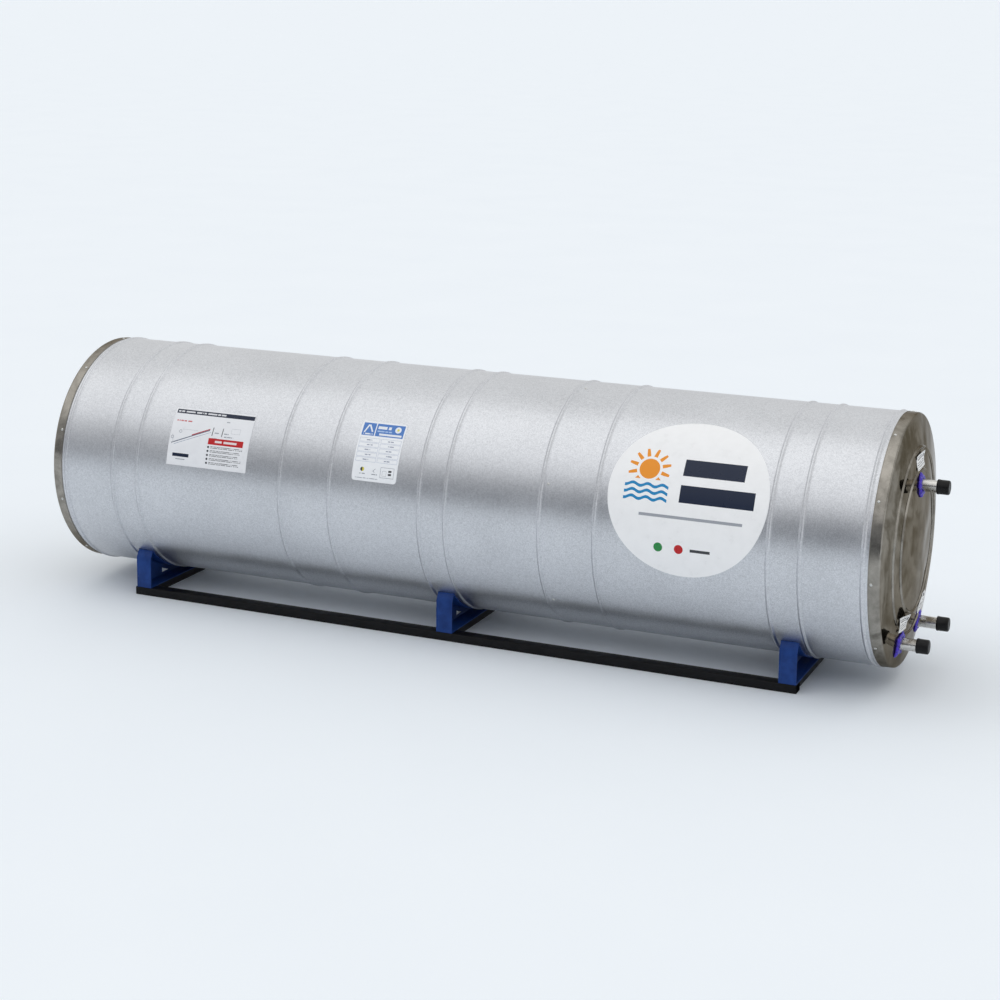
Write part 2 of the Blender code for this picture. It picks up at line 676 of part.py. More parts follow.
label("round_sticker", BADGE_X, BADGE_ANGLE,
      outline_prism(2 * BADGE_RADIUS, 0, "sticker_outline", round_shape=True))
label("guide_sticker", GUIDE_X, GUIDE_ANGLE,
      outline_prism(GUIDE_SIZE[0], straight(GUIDE_SIZE[1]), "guide_outline"))
label("rating_sticker", RATING_X, RATING_ANGLE,
      outline_prism(RATING_SIZE[0], straight(RATING_SIZE[1]), "rating_outline"))


def tag(name, y, z, tilt):
    """A small card on the dome of the pipe end."""
    radius = hypot(y, z)
    slope = 2 * DOME_RISE * radius / FACE_RADIUS ** 2
    lift = RING_HEIGHT + TAG_LIFT
    width, height = TAG_SIZE
    made = box((0, -width / 2, -height / 2), (LABEL, width / 2, height / 2), name, "label")
    lean_y, lean_z = slope * y / radius, slope * z / radius
    made.location = (HALF + dome(radius) + lift, y, z)
    made.rotation_euler = (radians(tilt), -lean_z, lean_y)
    return made


tag("hot_outlet_tag", 0.004, 0.2235, 2)
tag("cold_inlet_tag", 0.112, -0.2035, 6)
tag("collector_feed_tag", -0.112, -0.2030, -6)


# ---- stand ------------------------------------------------------------------------------

def saddle_half(shift):
    """Front half of a saddle's outline, set in by a shift: rails, front plate and cradle."""
    floor = -BODY_RADIUS - SADDLE_DROP
    bend = (-SADDLE_FRONT, floor + SADDLE_BEND)
    top_z = floor + SADDLE_TOP
    top = (-sqrt(CRADLE_RADIUS ** 2 - top_z ** 2), top_z)
    run = hypot(top[0] - bend[0], top[1] - bend[1])
    along = ((top[0] - bend[0]) / run, (top[1] - bend[1]) / run)
    start = (bend[0] + shift * along[1], bend[1] - shift * along[0])
    to_plate = (-SADDLE_FRONT + shift - start[0]) / along[0]
    bend_in = (-SADDLE_FRONT + shift, start[1] + to_plate * along[1])
    cradle = CRADLE_RADIUS + shift
    reach = -(start[0] * along[0] + start[1] * along[1])
    reach -= sqrt(reach ** 2 - (start[0] ** 2 + start[1] ** 2 - cradle ** 2))
    top_in = (start[0] + reach * along[0], start[1] + reach * along[1])
    step = 2 * pi / BODY_FLATS
    points = [(-SADDLE_FRONT + shift, floor + shift), bend_in, top_in]
    for count in range(BODY_FLATS // 4, 0, -1):
        y, z = -cradle * sin(count * step), -cradle * cos(count * step)
        if z < top_in[1] - GAP:
            points.append((y, z))
    return points


def saddle_outline(shift):
    """The whole outline: the front half, the cradle's lowest point and the mirrored half."""
    half = saddle_half(shift)
    return half + [(0, -CRADLE_RADIUS - shift)] + [(-y, z) for y, z in reversed(half)]


def saddle(name, middle):
    """A pressed saddle: a pan whose web is on its -X side."""
    low, high = middle - SADDLE_WIDTH / 2, middle + SADDLE_WIDTH / 2
    made = plate(saddle_outline(0), low, high, name, "blue paint")
    pan = plate(saddle_outline(SADDLE_SHEET), low + SADDLE_SHEET, high + SADDLE_SHEET, name + "_pan")
    combine(made, "DIFFERENCE", pan)
    foot = -BODY_RADIUS - SADDLE_DROP + WINDOW_MARGIN + SADDLE_SHEET
    for side in (1, -1):
        corners = [(side * WINDOW[0], foot), (side * WINDOW[0], foot + WINDOW_HEIGHT),
                   (side * WINDOW[1], foot)]
        window = plate(corners[::side], low - SADDLE_SHEET, low + 2 * SADDLE_SHEET,
                       f"{name}_window_{side}")
        combine(made, "DIFFERENCE", window)
    return made


rail_top = -BODY_RADIUS - SADDLE_DROP - GAP
rail_floor = rail_top - RAIL_HEIGHT
rail_low = -SADDLE_SPREAD - SADDLE_WIDTH / 2 - RAIL_OVERHANG
rail_high = SADDLE_SPREAD + SADDLE_WIDTH / 2


def square_tube(low, high, along, name):
    """A square tube between two corners, open at its ends."""
    made = box(low, high, name, "black paint")
    inner_low = [a + (-RAIL_WALL if axis == along else RAIL_WALL) for axis, a in enumerate(low)]
    inner_high = [b - (-RAIL_WALL if axis == along else RAIL_WALL) for axis, b in enumerate(high)]
    combine(made, "DIFFERENCE", box(inner_low, inner_high, name + "_inside"))
    return made


rails = {}
for side, label_side in ((-1, "front"), (1, "rear")):
    edges = sorted((side * SADDLE_FRONT, side * (SADDLE_FRONT - RAIL_DEPTH)))
    rails[side] = square_tube((rail_low, edges[0], rail_floor), (rail_high, edges[1], rail_top), 0,
                              label_side + "_rail")

for number, middle in enumerate(SADDLE_PLACES, 1):
    made_saddle = saddle(f"saddle_{number}", middle)
    cross_half = SADDLE_FRONT - RAIL_DEPTH - GAP
    square_tube((middle - RAIL_DEPTH / 2, -cross_half, rail_floor),
                (middle + RAIL_DEPTH / 2, cross_half, rail_top), 1, f"cross_member_{number}")
    for side, label_side in ((-1, "front"), (1, "rear")):
        bolt_y = side * (SADDLE_FRONT - RAIL_DEPTH / 2)
        seat = rail_top + 2 * GAP + SADDLE_SHEET
        name = f"saddle_screw_{label_side}_{number}"

        def upright(radius, low, high, flats):
            """A mesh builder for a round or hexagonal bar along Z."""
            return lambda work: bmesh.ops.create_cone(
                work, cap_ends=True, segments=flats, radius1=radius, radius2=radius,
                depth=high - low, matrix=Matrix.Translation((middle, bolt_y, (low + high) / 2)))

        head = place(mesh_from(upright(BOLT_HEAD, seat, seat + BOLT_HEAD, 6)), name, "zinc")
        flange = place(mesh_from(upright(BOLT_HEAD * 1.4, seat, seat + BOLT_HEAD / 4, 16)),
                       name + "_flange")
        shank = place(mesh_from(upright(BOLT_RADIUS, seat - BOLT_LENGTH, seat + BOLT_HEAD / 2, 12)),
                      name + "_shank")
        hole = place(mesh_from(upright(around(BOLT_RADIUS, SCREW_CLEARANCE, 12),
                                       seat - 2 * BOLT_LENGTH / 3, seat + GAP, 12)), name + "_hole")
        combine(head, "UNION", flange, shank)
        combine(made_saddle, "DIFFERENCE", hole)
        combine(rails[side], "DIFFERENCE", hole)
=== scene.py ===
"""Looks of a solar water heater's horizontal tank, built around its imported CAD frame."""

from math import atan2, ceil, cos, hypot, pi, radians, sin, sqrt

import bmesh
import bpy
from mathutils import Matrix, Vector, noise


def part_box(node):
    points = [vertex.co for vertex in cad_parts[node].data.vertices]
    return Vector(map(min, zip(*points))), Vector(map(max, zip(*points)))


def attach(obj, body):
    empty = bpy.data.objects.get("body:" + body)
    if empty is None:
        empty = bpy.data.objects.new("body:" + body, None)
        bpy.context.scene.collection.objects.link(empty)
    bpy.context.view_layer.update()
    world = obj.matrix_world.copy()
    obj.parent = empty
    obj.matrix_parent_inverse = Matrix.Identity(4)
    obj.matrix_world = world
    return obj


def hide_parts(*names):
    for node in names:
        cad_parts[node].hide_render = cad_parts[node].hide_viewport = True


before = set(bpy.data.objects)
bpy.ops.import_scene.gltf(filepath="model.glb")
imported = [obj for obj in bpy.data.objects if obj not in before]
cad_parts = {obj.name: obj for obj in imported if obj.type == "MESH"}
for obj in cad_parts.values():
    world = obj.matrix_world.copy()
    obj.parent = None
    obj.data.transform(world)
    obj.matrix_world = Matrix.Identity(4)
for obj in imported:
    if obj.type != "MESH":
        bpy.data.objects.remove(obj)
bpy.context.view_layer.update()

# ---- measures, in metres ----------------------------------------------------------------

shell_low, shell_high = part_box("tank_shell")
AXIS = (shell_low + shell_high) / 2              # middle of the tank
SKIRT = 0.0315
DOME_RISE = 0.030
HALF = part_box("end_cap_pipes")[0].x + SKIRT - AXIS.x     # tank's middle to the caps' rims
BODY_RADIUS = 0.350
CORNER = 0.006
SHEET = 0.0008
GAP = 0.0003
FACE_RADIUS = BODY_RADIUS - CORNER
ROUND = 224                                      # flats around the jacket and end caps

BEADS = (-1.066, -0.9795, -0.490, -0.3275, -0.0407, 0.0407, 0.3275, 0.490, 0.9795, 1.066)
END_BEAD = HALF - 0.0465
BEAD_HEIGHT = 0.0037
BEAD_HALF = 0.0080
SEAM_X = 0.340
LAP = 0.024

RINGS = (0.197, 0.257)
RING_HEIGHT = 0.0034
RING_HALF = 0.0068

PIPE_RADIUS = 0.0167
PIPE_WALL = 0.0020
BEND_INWARDS = 0.828                             # of the pipe's distance from the axis
BEND_FOOT = 0.033                                # straight run at the tank's head
WELD_X = 1.145                                   # seams between the tank's shell and heads
HOLE_GAP = 0.0007
PLUG_LENGTH = 0.034
SEAL_RADIUS = 0.031
SEAL_HEIGHT = 0.0065

SADDLE_PLACES = (-1.022, 0.0, 1.022)
SADDLE_WIDTH = 0.050
SADDLE_FRONT = 0.2545
SADDLE_DROP = 0.021
SADDLE_BEND = 0.0935
SADDLE_TOP = 0.1170
SADDLE_SHEET = 0.003
RAIL_WALL = 0.0015

LABEL = 0.0003


def at(x, y=0.0, z=0.0):
    """A place given from the middle of the tank."""
    return AXIS + Vector((x, y, z))


def dome(radius):
    """Height of an end cap's dome over its rim."""
    return DOME_RISE * (1 - (radius / FACE_RADIUS) ** 2)


def swell(distance, half, height):
    """Height of a pressed bead at a distance from its middle, with a small groove at each foot."""
    share = abs(distance) / half
    if share >= 1:
        return 0.0
    if share > 0.72:
        return -0.16 * height * sin(pi * (share - 0.72) / 0.28) ** 2
    return height * cos(pi * share / 1.44) ** 1.3


# ---- node trees -------------------------------------------------------------------------


def arithmetic(operation, swapped=False):
    """A Python operator that adds a Math node."""
    def apply(self, *others):
        terms = (*others, self) if swapped else (self, *others)
        return self.graph.node("ShaderNodeMath", {"operation": operation}, dict(enumerate(terms)))
    return apply


class Wire:
    """One value in a node tree, which Python operators work on."""

    def __init__(self, graph, socket):
        self.graph, self.socket = graph, socket

    __add__ = __radd__ = arithmetic("ADD")
    __sub__, __rsub__ = arithmetic("SUBTRACT"), arithmetic("SUBTRACT", True)
    __mul__ = __rmul__ = arithmetic("MULTIPLY")
    __truediv__, __rtruediv__ = arithmetic("DIVIDE"), arithmetic("DIVIDE", True)
    __pow__, __abs__ = arithmetic("POWER"), arithmetic("ABSOLUTE")
    __gt__, __lt__ = arithmetic("GREATER_THAN"), arithmetic("LESS_THAN")

    def function(self, operation, *others):
        """Any further Math operation, such as SINE, FLOOR or FRACT."""
        return arithmetic(operation)(self, *others)

    def within(self, low, high):
        """1 where the value lies between two others."""
        return (self > low) * (self < high)

    def ramp(self, low, high, out_low=0.0, out_high=1.0):
        """The value rescaled smoothly from one range to another."""
        return self.graph.node("ShaderNodeMapRange", {"interpolation_type": "SMOOTHSTEP"},
                               {0: self, 1: low, 2: high, 3: out_low, 4: out_high})


class Graph:
    """A node tree under construction."""

    def __init__(self, tree):
        self.tree = tree

    def node(self, kind, settings=None, inputs=None, output=0):
        """A node with its settings made first, then its inputs. Gives the output asked for."""
        made = self.tree.nodes.new(kind)
        for key, value in (settings or {}).items():
            if key == "stops":
                ramp = made.color_ramp
                while len(ramp.elements) < len(value):
                    ramp.elements.new(0.5)
                for element, (position, colour) in zip(ramp.elements, value):
                    element.position, element.color = position, (*colour, 1.0)
            else:
                setattr(made, key, value)
        for key, value in (inputs or {}).items():
            self.put(made.inputs[key], value)
        return Wire(self, made.outputs[output])

    def put(self, socket, value):
        """A constant or a link on a socket."""
        if isinstance(value, Wire):
            self.tree.links.new(value.socket, socket)
        elif socket.type == "RGBA" and len(value) == 3:
            socket.default_value = (*value, 1.0)
        else:
            socket.default_value = value

    def axes(self, vector):
        """The three numbers of a vector."""
        outputs = self.node("ShaderNodeSeparateXYZ", {}, {0: vector}).socket.node.outputs
        return [Wire(self, outputs[index]) for index in range(3)]


class Finish(Graph):
    """A procedural material around one Principled shader."""

    def __init__(self, name, colour, metallic=0.0, roughness=0.5, **constants):
        self.material = bpy.data.materials.new(name)
        self.material.use_nodes = True
        super().__init__(self.material.node_tree)
        self.shader = self.tree.nodes["Principled BSDF"]
        self.set(base_color=colour, metallic=metallic, roughness=roughness, **constants)
        self.place = self.node("ShaderNodeTexCoord", output="Object")

    def set(self, **values):
        """The shader's own sockets, by name with underscores."""
        names = {socket.name.lower().replace(" ", "_"): socket for socket in self.shader.inputs}
        for key, value in values.items():
            self.put(names[key], value)
        return self

    def stretched(self, x, y, z, middle=(0, 0, 0)):
        """Object coordinates scaled along each axis, about a middle."""
        location = [-m * s for m, s in zip(middle, (x, y, z))]
        return self.node("ShaderNodeMapping", {}, {"Vector": self.place, "Scale": (x, y, z),
                                                   "Location": location})

    def grain(self, scale, detail=3.0, rough=0.5, distortion=0.0, vector=None):
        """Soft noise, from 0 to 1, with so many grains to the metre."""
        return self.node("ShaderNodeTexNoise", {},
                         {"Vector": vector or self.place, "Scale": scale, "Detail": detail,
                          "Roughness": rough, "Distortion": distortion})

    def blend(self, share, low, high):
        """A colour between two others."""
        return self.node("ShaderNodeMix", {"data_type": "RGBA"}, {0: share, 6: low, 7: high}, 2)

    def bump(self, height, depth, strength=1.0, under=None):
        """A normal raised by a height that is worth so many metres."""
        inputs = {"Height": height, "Distance": depth, "Strength": strength}
        if under is not None:
            inputs["Normal"] = under
        return self.node("ShaderNodeBump", {}, inputs)

# ---- finishes ---------------------------------------------------------------------------


def coated_sheet():
    """Rolled steel sheet with a satin aluminium-zinc coating."""
    made = Finish("coated_sheet", (0.62, 0.63, 0.65), 1.0, 0.32)
    spangle = made.grain(430.0, 2.0, 0.65)
    cloud = made.grain(5.0, 4.0, 0.55)
    tone = spangle * 0.66 + cloud * 0.14 + made.grain(120.0, 3.0, 0.6) * 0.20
    ripple = made.bump(made.grain(2.2, 1.0, 0.4), 0.004, 0.35)
    return made.set(
        base_color=made.blend(tone.ramp(0.38, 0.62), (0.500, 0.514, 0.542), (0.695, 0.710, 0.742)),
        roughness=spangle * 0.18 + cloud * 0.10 + 0.20,
        normal=made.bump(spangle, 0.00030, 0.5, ripple)).material


def mirror_steel():
    """Polished stainless steel, a little wavy from pressing, satin on the skirts. Its colour holds
    painted reflection rings, and its face is painted darker towards the top as a painted
    reflection.
    """
    made = Finish("mirror_steel", (0.36, 0.335, 0.295), 1.0, 0.06,
                  specular_tint=(0.40, 0.37, 0.33))
    x, y, z = made.axes(made.stretched(1, 1, 1, tuple(AXIS)))
    face = abs(x).ramp(HALF - CORNER, HALF - CORNER / 3)
    radius = (y * y + z * z) ** 0.5
    drift = made.grain(6.0, 3.0, 0.55, 1.4)
    haze = made.grain(38.0, 4.0, 0.62, 0.6)
    # painted reflection: rings of lighter and darker tone round the cap's axis, wobbled by the
    # drift noise, stand in for reflections in the wavy dome
    painted_reflection_rings = (radius * 55.0 + drift * 16.0).function("SINE") * 0.5 + 0.5
    # tone mixes random tone with the painted reflection rings; its last term is a painted dark
    # reflection that makes the cap's face darker towards its top
    tone = drift * 0.36 + painted_reflection_rings * 0.18 + haze * 0.46 - z.ramp(0.05, 0.33) * face * 0.09
    wide = made.bump(made.grain(4.5, 1.0, 0.35, 0.6), 0.014, 0.6)
    return made.set(
        base_color=made.blend(tone.ramp(0.22, 0.72), (0.148, 0.138, 0.121), (0.370, 0.349, 0.314)),
        roughness=face * -0.19 + haze * 0.08 + 0.21,
        normal=made.bump(made.grain(240.0, 2.0, 0.5), 0.00003, 0.4, wide)).material


def pipe_steel():
    """Brushed stainless pipe."""
    made = Finish("pipe_steel", (0.60, 0.59, 0.57), 1.0, 0.22)
    drawn = made.grain(1.0, 3.0, 0.6, vector=made.stretched(30.0, 900.0, 900.0))
    cloud = made.grain(55.0, 3.0, 0.6)
    return made.set(
        base_color=made.blend(cloud * 0.6 + drawn * 0.4, (0.50, 0.485, 0.46), (0.76, 0.75, 0.73)),
        roughness=cloud.ramp(0.3, 0.7, 0.14, 0.32), normal=made.bump(drawn, 0.00005, 0.6)).material


def tank_steel():
    """Cold rolled stainless sheet of the inner tank, with a heat tint along its welds."""
    made = Finish("tank_steel", (0.58, 0.57, 0.55), 1.0, 0.34)
    x, _, _ = made.axes(made.stretched(1, 1, 1, tuple(AXIS)))
    weld = abs(abs(x) - WELD_X).ramp(0.030, 0.004)
    cloud = made.grain(14.0, 4.0, 0.6)
    sheet = made.blend(cloud, (0.50, 0.49, 0.47), (0.66, 0.65, 0.63))
    return made.set(base_color=made.blend(weld * cloud, sheet, (0.34, 0.24, 0.16)),
                    roughness=cloud.ramp(0.3, 0.7, 0.26, 0.44),
                    normal=made.bump(made.grain(420.0, 2.0), 0.00006, 0.5)).material


def foam():
    """Rigid polyurethane foam with its skin and open cells."""
    made = Finish("foam", (0.80, 0.66, 0.36), 0.0, 0.9)
    pores = made.node("ShaderNodeTexVoronoi", {}, {"Vector": made.place, "Scale": 420.0})
    cloud = made.grain(9.0, 4.0, 0.6)
    return made.set(
        base_color=made.blend(cloud * 0.7 + pores * 0.3, (0.66, 0.50, 0.24), (0.88, 0.76, 0.48)),
        roughness=pores.ramp(0.0, 0.6, 0.80, 0.95),
        normal=made.bump(pores, 0.0008, 0.6, made.bump(cloud, 0.004, 0.5))).material


def sealant():
    """Blue silicone, pressed on by hand."""
    made = Finish("sealant", (0.035, 0.012, 0.42), 0.0, 0.34, specular_ior_level=0.55)
    lumps = made.grain(120.0, 3.0, 0.55, 0.5)
    fine = made.bump(made.grain(700.0, 2.0, 0.5), 0.00015, 0.4)
    return made.set(
        base_color=made.blend(lumps.ramp(0.3, 0.7), (0.020, 0.006, 0.27), (0.065, 0.026, 0.60)),
        roughness=lumps.ramp(0.3, 0.7, 0.24, 0.46),
        normal=made.bump(lumps, 0.0016, 0.55, fine)).material


def moulded(name, dark, light, roughness, texture):
    """Moulded plastic with a fine eroded texture and rubbed patches."""
    made = Finish(name, dark, 0.0, roughness, specular_ior_level=0.20)
    patches = made.grain(38.0, 4.0, 0.6)
    return made.set(base_color=made.blend(patches.ramp(0.35, 0.75), dark, light),
                    roughness=patches.ramp(0.3, 0.7, roughness - 0.08, roughness + 0.1),
                    normal=made.bump(made.grain(1500.0, 2.0, 0.5), texture, 0.6)).material


def brass():
    """Machined brass, dulled by handling."""
    made = Finish("brass", (0.70, 0.50, 0.21), 1.0, 0.28)
    tarnish = made.grain(90.0, 4.0, 0.6)
    tool_marks = made.grain(1.0, 2.0, 0.5, vector=made.stretched(2600.0, 60.0, 60.0))
    return made.set(
        base_color=made.blend(tarnish.ramp(0.35, 0.75), (0.74, 0.55, 0.25), (0.40, 0.27, 0.12)),
        roughness=tarnish.ramp(0.3, 0.7, 0.20, 0.42),
        normal=made.bump(tool_marks, 0.00006, 0.5)).material


def rubber():
    """Black nitrile rubber with a little talc on it."""
    made = Finish("gasket_rubber", (0.030, 0.030, 0.031), 0.0, 0.75)
    talc = made.grain(260.0, 4.0, 0.65).ramp(0.52, 0.80)
    return made.set(base_color=made.blend(talc, (0.022, 0.022, 0.023), (0.16, 0.16, 0.155)),
                    normal=made.bump(made.grain(900.0, 2.0), 0.0001, 0.6)).material


def magnesium():
    """Cast magnesium rod, oxidised."""
    made = Finish("magnesium", (0.55, 0.55, 0.56), 1.0, 0.55)
    oxide = made.grain(70.0, 5.0, 0.65)
    return made.set(
        base_color=made.blend(oxide.ramp(0.4, 0.7), (0.60, 0.60, 0.61), (0.33, 0.33, 0.33)),
        roughness=oxide.ramp(0.3, 0.7, 0.42, 0.70), normal=made.bump(oxide, 0.0006, 0.5)).material


def enamel(name, deep, bright, roughness, orange_peel):
    """Brushed or sprayed enamel on steel, with dust and rubbed spots."""
    made = Finish(name, deep, 0.0, roughness, coat_weight=0.04, coat_roughness=0.25,
                  specular_ior_level=0.18)
    tone = made.grain(16.0, 4.0, 0.6)
    dust = made.grain(240.0, 4.0, 0.7) * made.grain(11.0, 2.0, 0.5)
    painted = made.blend(tone.ramp(0.3, 0.7), deep, bright)
    return made.set(
        base_color=made.blend(dust.ramp(0.38, 0.54) * 0.12, painted, (0.42, 0.43, 0.45)),
        roughness=tone.ramp(0.3, 0.7, roughness - 0.06, roughness + 0.1),
        normal=made.bump(made.grain(330.0, 2.0, 0.5), 0.00016, orange_peel)).material


def zinc():
    """Zinc plated fastener."""
    made = Finish("zinc", (0.60, 0.60, 0.58), 1.0, 0.32)
    cloud = made.grain(300.0, 4.0, 0.6)
    return made.set(
        base_color=made.blend(cloud.ramp(0.3, 0.7), (0.46, 0.46, 0.44), (0.76, 0.77, 0.76)),
        roughness=cloud.ramp(0.3, 0.7, 0.22, 0.45), normal=made.bump(cloud, 0.00008, 0.5)).material


# ---- printed finishes -------------------------------------------------------------------

NAVY = (0.006, 0.014, 0.040)
INK = (0.045, 0.048, 0.055)
PALE_INK = (0.36, 0.38, 0.42)
RED = (0.52, 0.012, 0.016)
SKY = (0.085, 0.215, 0.56)
AMBER = (0.86, 0.30, 0.02)
WATER = (0.012, 0.24, 0.52)
GREEN = (0.02, 0.25, 0.06)


class Print(Finish):
    """Printed film or card. Its marks go by metres from the label's middle."""

    def __init__(self, name, base, roughness=0.32):
        super().__init__(name, base, 0.0, roughness, coat_weight=0.08, coat_roughness=0.2,
                         specular_ior_level=0.3)
        self.u, self.v, _ = self.axes(self.node(
            "ShaderNodeAttribute", {"attribute_name": "print_place"}, output="Vector"))
        tone = self.grain(26.0, 4.0, 0.6)
        self.colour = self.blend(tone.ramp(0.3, 0.7), tuple(c * 0.965 for c in base), base)
        self.set(roughness=tone.ramp(0.3, 0.7, roughness - 0.06, roughness + 0.08),
                 normal=self.bump(self.grain(180.0, 2.0), 0.0002, 0.35))

    def ink(self, mask, colour):
        """Lay a colour where a mask says."""
        self.colour = self.blend(mask, self.colour, colour)

    def lay(self, mark, colour, *rows):
        """Lay a colour in several marks of one kind."""
        for row in rows:
            self.ink(mark(*row), colour)

    def block(self, u0, u1, v0, v1):
        """A filled rectangle."""
        return self.u.within(u0, u1) * self.v.within(v0, v1)

    def frame(self, u0, u1, v0, v1, line):
        """The outline of a rectangle."""
        return self.block(u0, u1, v0, v1) - self.block(u0 + line, u1 - line, v0 + line, v1 - line)

    def away(self, u, v):
        """Distance from a point."""
        du, dv = self.u - u, self.v - v
        return (du * du + dv * dv) ** 0.5

    def disc(self, u, v, radius):
        """A filled circle."""
        return self.away(u, v) < radius

    def stroke(self, start, end, width):
        """A straight line between two points."""
        length = hypot(end[0] - start[0], end[1] - start[1])
        across, rise = ((b - a) / length for a, b in zip(start, end))
        along = (self.u - start[0]) * across + (self.v - start[1]) * rise
        aside = (self.u - start[0]) * -rise + (self.v - start[1]) * across
        return along.within(0.0, length) * (abs(aside) < width / 2)

    def dashes(self, u0, u1, v0, v1, rows=1, dash=0.0016, fill=0.7):
        """Rows of short dashes that stand for lines of small print."""
        row = (self.v - v0) * (rows / (v1 - v0))
        count = row.function("FLOOR")
        step = (self.u * (1.0 / dash) + count * 3.7).function("FLOOR")
        cell = self.node("ShaderNodeCombineXYZ", {}, {0: step, 1: count})
        chance = self.node("ShaderNodeTexWhiteNoise", {"noise_dimensions": "2D"}, {"Vector": cell})
        lines = abs(row.function("FRACT") - 0.5) < fill / 2
        return self.block(u0, u1, v0, v1) * lines * (chance > 0.22)

    def done(self):
        """The material, with its colour joined up."""
        return self.set(base_color=self.colour).material


def badge_print():
    """Round sticker: a plain sun over water, with bars where wording would be."""
    made = Print("badge_print", (0.95, 0.955, 0.965))
    sun_u, sun_v = -0.118, 0.062
    away = made.away(sun_u, sun_v)
    turn = (made.u - sun_u).function("ARCTAN2", made.v - sun_v)
    spoke = abs((turn * (12 / (2 * pi))).function("FRACT") - 0.5)
    rays = away.within(0.036, 0.060) * (spoke < (0.075 - away) * 7.0)
    made.ink(away < 0.029, AMBER)
    made.ink(rays * (made.v > sun_v - 0.030), AMBER)
    for row in range(3):
        wave = (made.u * 150.0).function("SINE") * 0.0036 + (sun_v - 0.046 - 0.018 * row)
        made.ink((abs(made.v - wave) < 0.0042) * made.u.within(sun_u - 0.062, sun_u + 0.062), WATER)
    made.lay(made.block, NAVY, (-0.022, 0.150, 0.052, 0.100), (-0.022, 0.186, -0.022, 0.026))
    made.lay(made.block, PALE_INK, (-0.130, 0.160, -0.067, -0.059))
    made.lay(made.disc, GREEN, (-0.070, -0.148, 0.0125))
    made.lay(made.disc, RED, (-0.012, -0.148, 0.0125))
    made.lay(made.block, INK, (0.020, 0.076, -0.152, -0.144))
    return made.done()


def guide_print():
    """Fitting guide: heading, line drawing of a sloping collector and bulleted lines."""
    made = Print("guide_print", (0.86, 0.87, 0.90))
    block, dashes, stroke = made.block, made.dashes, made.stroke
    made.lay(block, NAVY, (-0.132, 0.134, 0.070, 0.083), (-0.118, -0.062, -0.062, -0.052))
    made.lay(dashes, (0.74, 0.75, 0.78), (-0.128, 0.036, 0.0725, 0.0805, 1, 0.0026, 0.62))
    made.lay(dashes, (0.60, 0.16, 0.17), (-0.124, -0.072, 0.044, 0.050, 1, 0.0022))
    made.lay(stroke, (0.10, 0.13, 0.19), ((-0.128, -0.023), (-0.004, 0.026), 0.0028))
    made.lay(stroke, (0.22, 0.30, 0.42), ((-0.118, -0.026), (0.000, 0.020), 0.0012))
    made.lay(stroke, (0.45, 0.035, 0.045), ((-0.062, 0.006), (-0.004, 0.0295), 0.0030))
    made.lay(stroke, PALE_INK, ((-0.128, 0.004), (-0.122, -0.021), 0.0010),
             ((-0.098, 0.021), (-0.045, 0.021), 0.0006))
    for u, v in ((-0.103, 0.014), (-0.127, -0.005)):
        made.ink(abs(made.away(u, v) - 0.0042) < 0.0008, PALE_INK)
    for u in (0.0055, 0.0385):
        made.lay(stroke, INK, ((u, 0.010), (u + 0.0015, 0.036), 0.0026))
        made.lay(dashes, PALE_INK, (u + 0.007, u + 0.022, 0.017, 0.022))
    made.lay(dashes, PALE_INK, (0.008, 0.024, 0.000, 0.005), (0.047, 0.079, 0.008, 0.013),
             (0.045, 0.056, 0.054, 0.058))
    made.lay(made.frame, PALE_INK, (0.068, 0.098, 0.022, 0.038, 0.0006))
    made.lay(block, RED, (-0.003, 0.116, -0.016, 0.003))
    made.lay(dashes, (0.82, 0.74, 0.75), (0.020, 0.094, -0.0110, -0.002, 1, 0.0062, 0.72))
    for row in range(5):
        v = -0.024 - 0.0118 * row
        end = (0.116, 0.110, 0.104)[row % 3]
        made.lay(made.disc, INK, (0.0005, v, 0.0034))
        made.lay(dashes, (0.16, 0.165, 0.18), (0.008, end, v - 0.004, v + 0.004, 2, 0.0019, 0.5))
    made.lay(block, PALE_INK, (-0.106, -0.074, -0.0705, -0.0680))
    return made.done()


